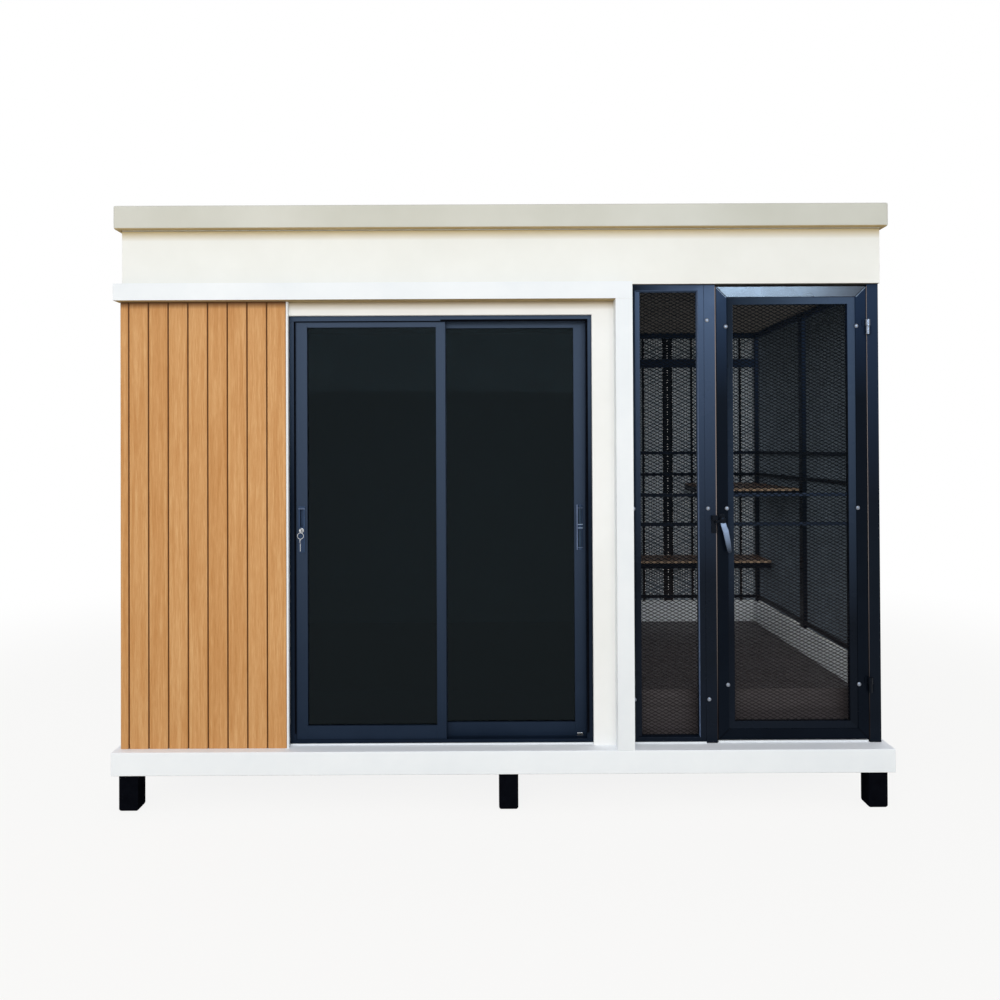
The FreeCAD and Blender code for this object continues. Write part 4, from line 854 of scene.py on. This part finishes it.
# Black strips along the inner edges of the jambs and of the head: gaskets that also paint the shadow gaps there,
# wider in front of the rear track
GASKET_AND_SHADOW_WIDTH = 7 * MM
REAR_TRACK_GASKET_AND_SHADOW = 9 * MM
HEAD_GASKET_AND_SHADOW = 4 * MM
REAR_TRACK_START = -242 * MM
GASKET_AND_SHADOW_PROUD = 0.6 * MM
GASKET_AND_SHADOW_SUNK = 0.5 * MM
SILL_HEIGHT = 24 * MM
front = left_jamb[0].y - GASKET_AND_SHADOW_PROUD
back = left_jamb[0].y + GASKET_AND_SHADOW_SUNK
foot = left_jamb[0].z + SILL_HEIGHT
head = left_jamb[1].z
left_edge = left_jamb[1].x - GASKET_AND_SHADOW_WIDTH
right_edge = right_jamb[0].x + REAR_TRACK_GASKET_AND_SHADOW
bars(
    "frame_gaskets_and_shadow_gaps",
    [
        ((left_edge, front, foot), (left_jamb[1].x, back, head)),
        ((right_jamb[0].x, front, foot), (right_edge, back, head)),
        ((left_edge, front, head), (REAR_TRACK_START, back, head + HEAD_GASKET_AND_SHADOW)),
        ((REAR_TRACK_START, front, head), (right_edge, back, head + REAR_TRACK_GASKET_AND_SHADOW)),
    ],
    0.3, "foot_black", "house", "foot_black",
)

# Strips in the gaps beside the mesh door, painted as the light seen through those gaps
GAP_STRIP_INSET = 2.4 * MM
GAP_STRIP_BACK = 3 * MM
LEFT_GAP_STRIP_EDGE = 5.5 * MM
LEFT_GAP_STRIP_PROUD = 0.5 * MM
RIGHT_GAP_STRIP_EDGE = 4.2 * MM
RIGHT_GAP_STRIP_SUNK = 0.2 * MM
bars(
    "door_gap_light_strips",
    [
        (
            (door_low.x - LEFT_GAP_STRIP_EDGE, door_low.y - LEFT_GAP_STRIP_PROUD, door_low.z),
            (door_low.x - GAP_STRIP_INSET, door_low.y + GAP_STRIP_BACK, door_high.z),
        ),
        (
            (door_high.x + GAP_STRIP_INSET, door_low.y + RIGHT_GAP_STRIP_SUNK, door_low.z),
            (door_high.x + RIGHT_GAP_STRIP_EDGE, door_low.y + GAP_STRIP_BACK, door_high.z),
        ),
    ],
    0.4, "black_steel", "house", "door_gap_painted_light",
)

# Stop strip that holds the fixed mesh beside the side band
STOP_LAP = 4 * MM
STOP_REACH = 14 * MM
STOP_FRONT = 21 * MM
STOP_BACK = 4 * MM
mesh_low, mesh_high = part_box("fixed_panel_mesh")
stop_low = mesh_low.x - STOP_LAP, mesh_low.y - STOP_FRONT, mesh_low.z
stop_high = mesh_low.x + STOP_REACH, mesh_low.y - STOP_BACK, mesh_high.z
bars("fixed_panel_stop", [(stop_low, stop_high)], 1.0, "black_steel", "house", "black_steel")

# Pale edge strips along the front of the shelves, painted as the highlight on their edge
EDGE_STRIP_DEPTH = 3 * MM
bars(
    "shelf_edge_highlight_strips",
    [((low.x, low.y - EDGE_STRIP_DEPTH, low.z), (high.x, low.y, high.z)) for low, high in solids("shelf_boards")],
    0.6, "shelf_wood", "house", "shelf_edge_painted_highlight",
)

# Rims and ribs of the flush pulls, with painted highlights, and black painted shadow lines beside the right pull's
# recesses
RIB_LEFT = 0.3 * MM
RIB_RIGHT = 1 * MM
RIB_PROUD = 2 * MM
RIM_INSET = 1 * MM
RIM_PROUD = 2.4 * MM
RIM_WIDTH = 6.2
SHADOW_LINE_PROUD = 0.4 * MM
SHADOW_LINE_INSET = 3 * MM
SHADOW_LINE_WIDTH = 2.2
SHADOW_LINE_PLACES = (305.2, 320.4)
PULL_SUNK = 0.5 * MM


def ribs(name, node, body, heights, rise, finish, sides=()):
    """Ribs across a pull at the given heights, and side rims where asked for, all in millimetres."""
    low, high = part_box(node)
    back = low.y + PULL_SUNK
    boxes = [
        ((low.x + RIB_LEFT, low.y - RIB_PROUD, z * MM), (high.x - RIB_RIGHT, back, (z + rise) * MM))
        for z in heights
    ]
    for side in sides:
        rim_low = side * MM, low.y - RIM_PROUD, low.z + RIM_INSET
        rim_high = (side + RIM_WIDTH) * MM, back, high.z - RIM_INSET
        boxes.append((rim_low, rim_high))
    bars(name, boxes, 0.9, "black_handle", body, finish)


ribs("lock_escutcheon_rim", "lock_escutcheon", "left_sash", (1165,), 6.0, "anodised_painted_highlight")
ribs("right_flush_pull_rims", "right_flush_pull", "right_sash", (1003, 1162), 3.0, "anodised_painted_highlight", (298.8,))
ribs("right_flush_pull_ribs", "right_flush_pull", "right_sash", (1082, 1096), 3.0, "bright_painted_highlight")
bars(
    "right_flush_pull_shadow_lines",
    [
        (
            (x * MM, pull_low.y - SHADOW_LINE_PROUD, pull_low.z + SHADOW_LINE_INSET),
            ((x + SHADOW_LINE_WIDTH) * MM, pull_low.y + PULL_SUNK, pull_high.z - SHADOW_LINE_INSET),
        )
        for x in SHADOW_LINE_PLACES
    ],
    0.2, "black_handle", "right_sash", "foot_black",
)

# Bright guide at the foot of the right sash
GUIDE_LEFT = 297 * MM
GUIDE_RIGHT = 321 * MM
GUIDE_FOOT = 240 * MM
GUIDE_TOP = 264 * MM
GUIDE_PROUD = 4 * MM
stile_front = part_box("right_pull_stile")[0].y
guide_low = GUIDE_LEFT, stile_front - GUIDE_PROUD, GUIDE_FOOT
guide_high = GUIDE_RIGHT, stile_front, GUIDE_TOP
bars("right_sash_guide", [(guide_low, guide_high)], 1.5, "bright_lock", "right_sash", "bright_lock")


def skin(faces, first, rows, sides):
    """Joins rows of points round a form, counted from the first one, and closes its ends."""
    for row in range(rows - 1):
        near = first + row * sides
        far = near + sides
        for side in range(sides):
            after = (side + 1) % sides
            faces.append((near + side, near + after, far + after, far + side))
    last = first + (rows - 1) * sides
    faces.append(tuple(range(last, last + sides)))
    faces.append(tuple(reversed(range(first, first + sides))))


def turned(points, faces, profile, centre, sides):
    """Adds a turned form that stands out to the front from a centre; the profile holds radius and rise."""
    first = len(points)
    for radius, rise in profile:
        for side in range(sides):
            angle = math.tau * side / sides
            points.append(centre + Vector((radius * math.cos(angle), -rise, radius * math.sin(angle))) * MM)
    skin(faces, first, len(profile), sides)


# Domed screw heads
DOME = ((8.5, 0.0), (8.5, 0.8), (8.1, 2.0), (7.0, 3.2), (5.2, 4.1), (2.8, 4.6), (0.6, 4.75))
DOME_SIDES = 24
for node, body in (("frame_screws", "house"), ("door_screws", "mesh_door")):
    points = []
    faces = []
    for low, high in solids(node):
        middle = (low + high) / 2
        turned(points, faces, DOME, Vector((middle.x, high.y, middle.z)), DOME_SIDES)
    piece = new_piece(node + "_domed", points, faces, slots[node], body, node)
    piece.data.shade_smooth()

# Keyway in the face of the lock cylinder: a brown disc of painted shade
KEYWAY = ((3.2, -1.0), (3.2, 0.3), (2.6, 0.5))
KEYWAY_SIDES = 24
low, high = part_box("lock_cylinder")
lock_face = Vector((low.x + high.x, 2 * low.y, low.z + high.z)) / 2
points = []
faces = []
turned(points, faces, KEYWAY, lock_face, KEYWAY_SIDES)
new_piece("lock_keyway", points, faces, "bright_lock", "lock_plug", finish="keyway_painted_shade")

# Open joints at the mitred corners of the mesh door, and painted highlights beside the upper ones
MITRE_START = 3
MITRE_END = 41
MITRE_PROUD = 0.3
MITRE_SUNK = 0.5
STRIP_CORNERS = ((MITRE_START, -1), (MITRE_END, -1), (MITRE_END, 1), (MITRE_START, 1))
STRIP_SIDES = ((0, 1, 2, 3), (7, 6, 5, 4), (0, 4, 5, 1), (1, 5, 6, 2), (2, 6, 7, 3), (3, 7, 4, 0))


def mitre_lines(name, corners, shift, half_width, slot, finish):
    """Thin strips that run inwards from corners of the door at 45 degrees, shifted sideways."""
    points = []
    faces = []
    for x, z, run, rise in corners:
        first = len(points)
        along = Vector((run, 0, rise)) * MM
        across = Vector((rise, 0, -run)) * run * MM
        corner = Vector((x, door_low.y, z)) + across * shift
        for out in (MITRE_PROUD, -MITRE_SUNK):
            level = Vector((0, -out, 0)) * MM
            for distance, side in STRIP_CORNERS:
                points.append(corner + along * distance + across * half_width * side + level)
        faces.extend(tuple(first + index for index in side) for side in STRIP_SIDES)
    piece = new_piece(name, points, faces, slot, "mesh_door", finish=finish)
    work = bmesh.new()
    work.from_mesh(piece.data)
    bmesh.ops.recalc_face_normals(work, faces=work.faces)
    work.to_mesh(piece.data)
    work.free()


UPPER_CORNERS = ((door_low.x, door_high.z, 1, -1), (door_high.x, door_high.z, -1, -1))
LOWER_CORNERS = ((door_low.x, door_low.z, 1, 1), (door_high.x, door_low.z, -1, 1))
mitre_lines("door_mitre_joints", UPPER_CORNERS + LOWER_CORNERS, 0, 1.1, "black_steel", "foot_black")
mitre_lines("door_mitre_highlights", UPPER_CORNERS, 1.9, 0.6, "grey_hinge", "bright_painted_highlight")

# Lever: round hub, grip that cranks away from the door, and nose, leaning with the real one.
# The grip's sections hold drop, distance from the door, half width and half depth, in millimetres.
LEVER_PIVOT = Vector((873.0, -716.3, 1117.0)) * MM
LEVER_LEAN = Matrix.Rotation(math.radians(-10), 3, "Y")
HUB = ((12, 0), (12, 9.5), (11.2, 11.3), (9.4, 12.2), (4, 12.8), (0.5, 12.9))
HUB_SIDES = 32
HUB_REACH = 13 * MM
GRIP = (
    (3, 6, 11.2, 5.4),
    (19, 7.8, 11.0, 5.4),
    (47, 24, 11.4, 5.4),
    (91, 26.4, 10.4, 5.0),
    (126, 24.5, 8.8, 4.2),
    (132, 24, 2.2, 1.6),
)
GRIP_SIDES = 28
GRIP_STEPS = 6
NOSE_LOW = Vector((-32, -10, -4)) * MM
NOSE_HIGH = Vector((0, -2, 4)) * MM
points = []
faces = []
turned(points, faces, HUB, Vector(), HUB_SIDES)
sections = []
for near, far in zip(GRIP, GRIP[1:]):
    for step in range(GRIP_STEPS):
        share = step / GRIP_STEPS
        smooth = (1 - math.cos(math.pi * share)) / 2
        drop = near[0] + (far[0] - near[0]) * share
        sections.append((drop, *(a + (b - a) * smooth for a, b in zip(near[1:], far[1:]))))
sections.append(GRIP[-1])
first = len(points)
for drop, away, half_width, half_depth in reversed(sections):
    for side in range(GRIP_SIDES):
        angle = math.tau * side / GRIP_SIDES
        points.append(Vector((half_width * math.cos(angle), half_depth * math.sin(angle) - away, -drop)) * MM)
skin(faces, first, len(sections), GRIP_SIDES)
first = len(points)
add_box(points, faces, NOSE_LOW, NOSE_HIGH)
points[first:] = [LEVER_LEAN @ point for point in points[first:]]
points = [LEVER_PIVOT + LEVER_LEAN @ point for point in points]
piece = new_piece(
    "handle_lever_smooth", points, faces, "black_handle", "handle", "handle_lever", finish="lever_painted_highlight"
)
# The hub is plain black, without the painted highlight of the grip
paint(piece, "black_handle", lambda centre, normal: centre.z > LEVER_PIVOT.z - HUB_REACH)
round_off(piece, 1.0, 2)


def shown_rays(tree):
    """1 for rays from the camera and for those that metal and glass show, 0 for those that light the object."""
    rays = add(tree, "LightPath", {}).outputs
    seen = add(tree, "Math", {0: rays["Is Camera Ray"], 1: rays["Is Glossy Ray"]}, operation="MAXIMUM")
    seen = add(tree, "Math", {0: seen.outputs[0], 1: rays["Is Transmission Ray"]}, operation="MAXIMUM")
    return seen.outputs[0]


# Floor: pale ground that shows white to the camera and keeps the shadow near the house
FLOOR_REACH = 30.0
SHADOW_REACH = (2.6, 6.0)
SHADOW_WHITE = 0.87
floor_mesh = bpy.data.meshes.new("studio_floor")
floor_corners = [(x * FLOOR_REACH, y * FLOOR_REACH, 0) for x, y in ((-1, -1), (1, -1), (1, 1), (-1, 1))]
floor_mesh.from_pydata(floor_corners, [], [(0, 1, 2, 3)])
floor = bpy.data.objects.new("studio_floor", floor_mesh)
scene.collection.objects.link(floor)
material, tree, output = new_material("pale_studio_floor")
place = add(tree, "TexCoord", {}).outputs["Object"]
away = add(tree, "VectorMath", {0: place}, operation="LENGTH")
part = add(
    tree,
    "MapRange",
    {"Value": away.outputs["Value"], "From Min": SHADOW_REACH[0], "From Max": SHADOW_REACH[1],
     "To Min": SHADOW_WHITE, "To Max": 1.0},
    interpolation_type="SMOOTHSTEP",
)
share = add(tree, "Math", {0: shown_rays(tree), 1: part.outputs["Result"]}, operation="MULTIPLY")
matt = add(tree, "BsdfDiffuse", {"Color": linear("#DAD5C8")})
glow = add(tree, "Emission", {"Color": linear("#FFFFFF"), "Strength": 1.0})
both = add(tree, "MixShader", {0: share.outputs[0], 1: matt.outputs[0], 2: glow.outputs[0]})
tree.links.new(both.outputs[0], output.inputs["Surface"])
floor_mesh.materials.append(material)

# World: even daylight, white where the camera, metal and glass see it
WORLD_LIGHT = 0.7
world = bpy.data.worlds.new("studio_daylight")
scene.world = world
world.use_nodes = True
tree = world.node_tree
tree.nodes.clear()
daylight = add(tree, "Background", {"Color": linear("#F6F9FF"), "Strength": WORLD_LIGHT})
white = add(tree, "Background", {"Color": linear("#FFFFFF"), "Strength": 1.0})
sky = add(tree, "MixShader", {0: shown_rays(tree), 1: daylight.outputs[0], 2: white.outputs[0]})
add(tree, "OutputWorld", {"Surface": sky.outputs[0]})


def lamp(name, place, aim, power, size, colour, diffuse=True, gloss=True):
    """A soft rectangular lamp aimed at a point; it can be left out of the reflections or be in them alone."""
    light = bpy.data.lights.new(name, "AREA")
    light.shape = "RECTANGLE"
    light.size, light.size_y = size
    light.energy = power
    light.color = linear(colour)[:3]
    item = bpy.data.objects.new(name, light)
    item.location = place
    item.rotation_euler = (Vector(aim) - Vector(place)).to_track_quat("-Z", "Y").to_euler()
    item.visible_camera = False
    item.visible_diffuse = diffuse
    item.visible_glossy = gloss
    scene.collection.objects.link(item)


lamp("key_lamp", (-2.2, -6.4, 4.4), aim=(0.0, 0.0, 1.0), power=45, size=(4.0, 2.6), colour="#FFFDFA")
lamp(
    "fill_lamp", (-0.3, -6.6, 2.7), aim=(0.1, 0.0, 0.4), power=150, size=(6.0, 1.4), colour="#FFFDFA", gloss=False
)
lamp(
    "sky_strip", (2.4, -6.3, 3.05), aim=(1.0, -0.7, 2.0), power=108, size=(1.8, 0.3), colour="#B6D2EE", diffuse=False
)

# Camera: straight at the front, eye height 1.41 m, at the photograph's distance
camera_data = bpy.data.cameras.new("front_camera")
camera_data.sensor_width = 36.0
camera_data.lens = 30.4
camera_data.shift_x = 0.0067
camera_data.shift_y = -0.0598
camera_data.clip_end = 200.0
camera = bpy.data.objects.new("front_camera", camera_data)
camera.location = (-0.037, -4.067, 1.41)
camera.rotation_euler = (math.radians(90.46), math.radians(0.263), math.radians(-0.057))
scene.collection.objects.link(camera)
scene.camera = camera

scene.view_settings.view_transform = "Standard"
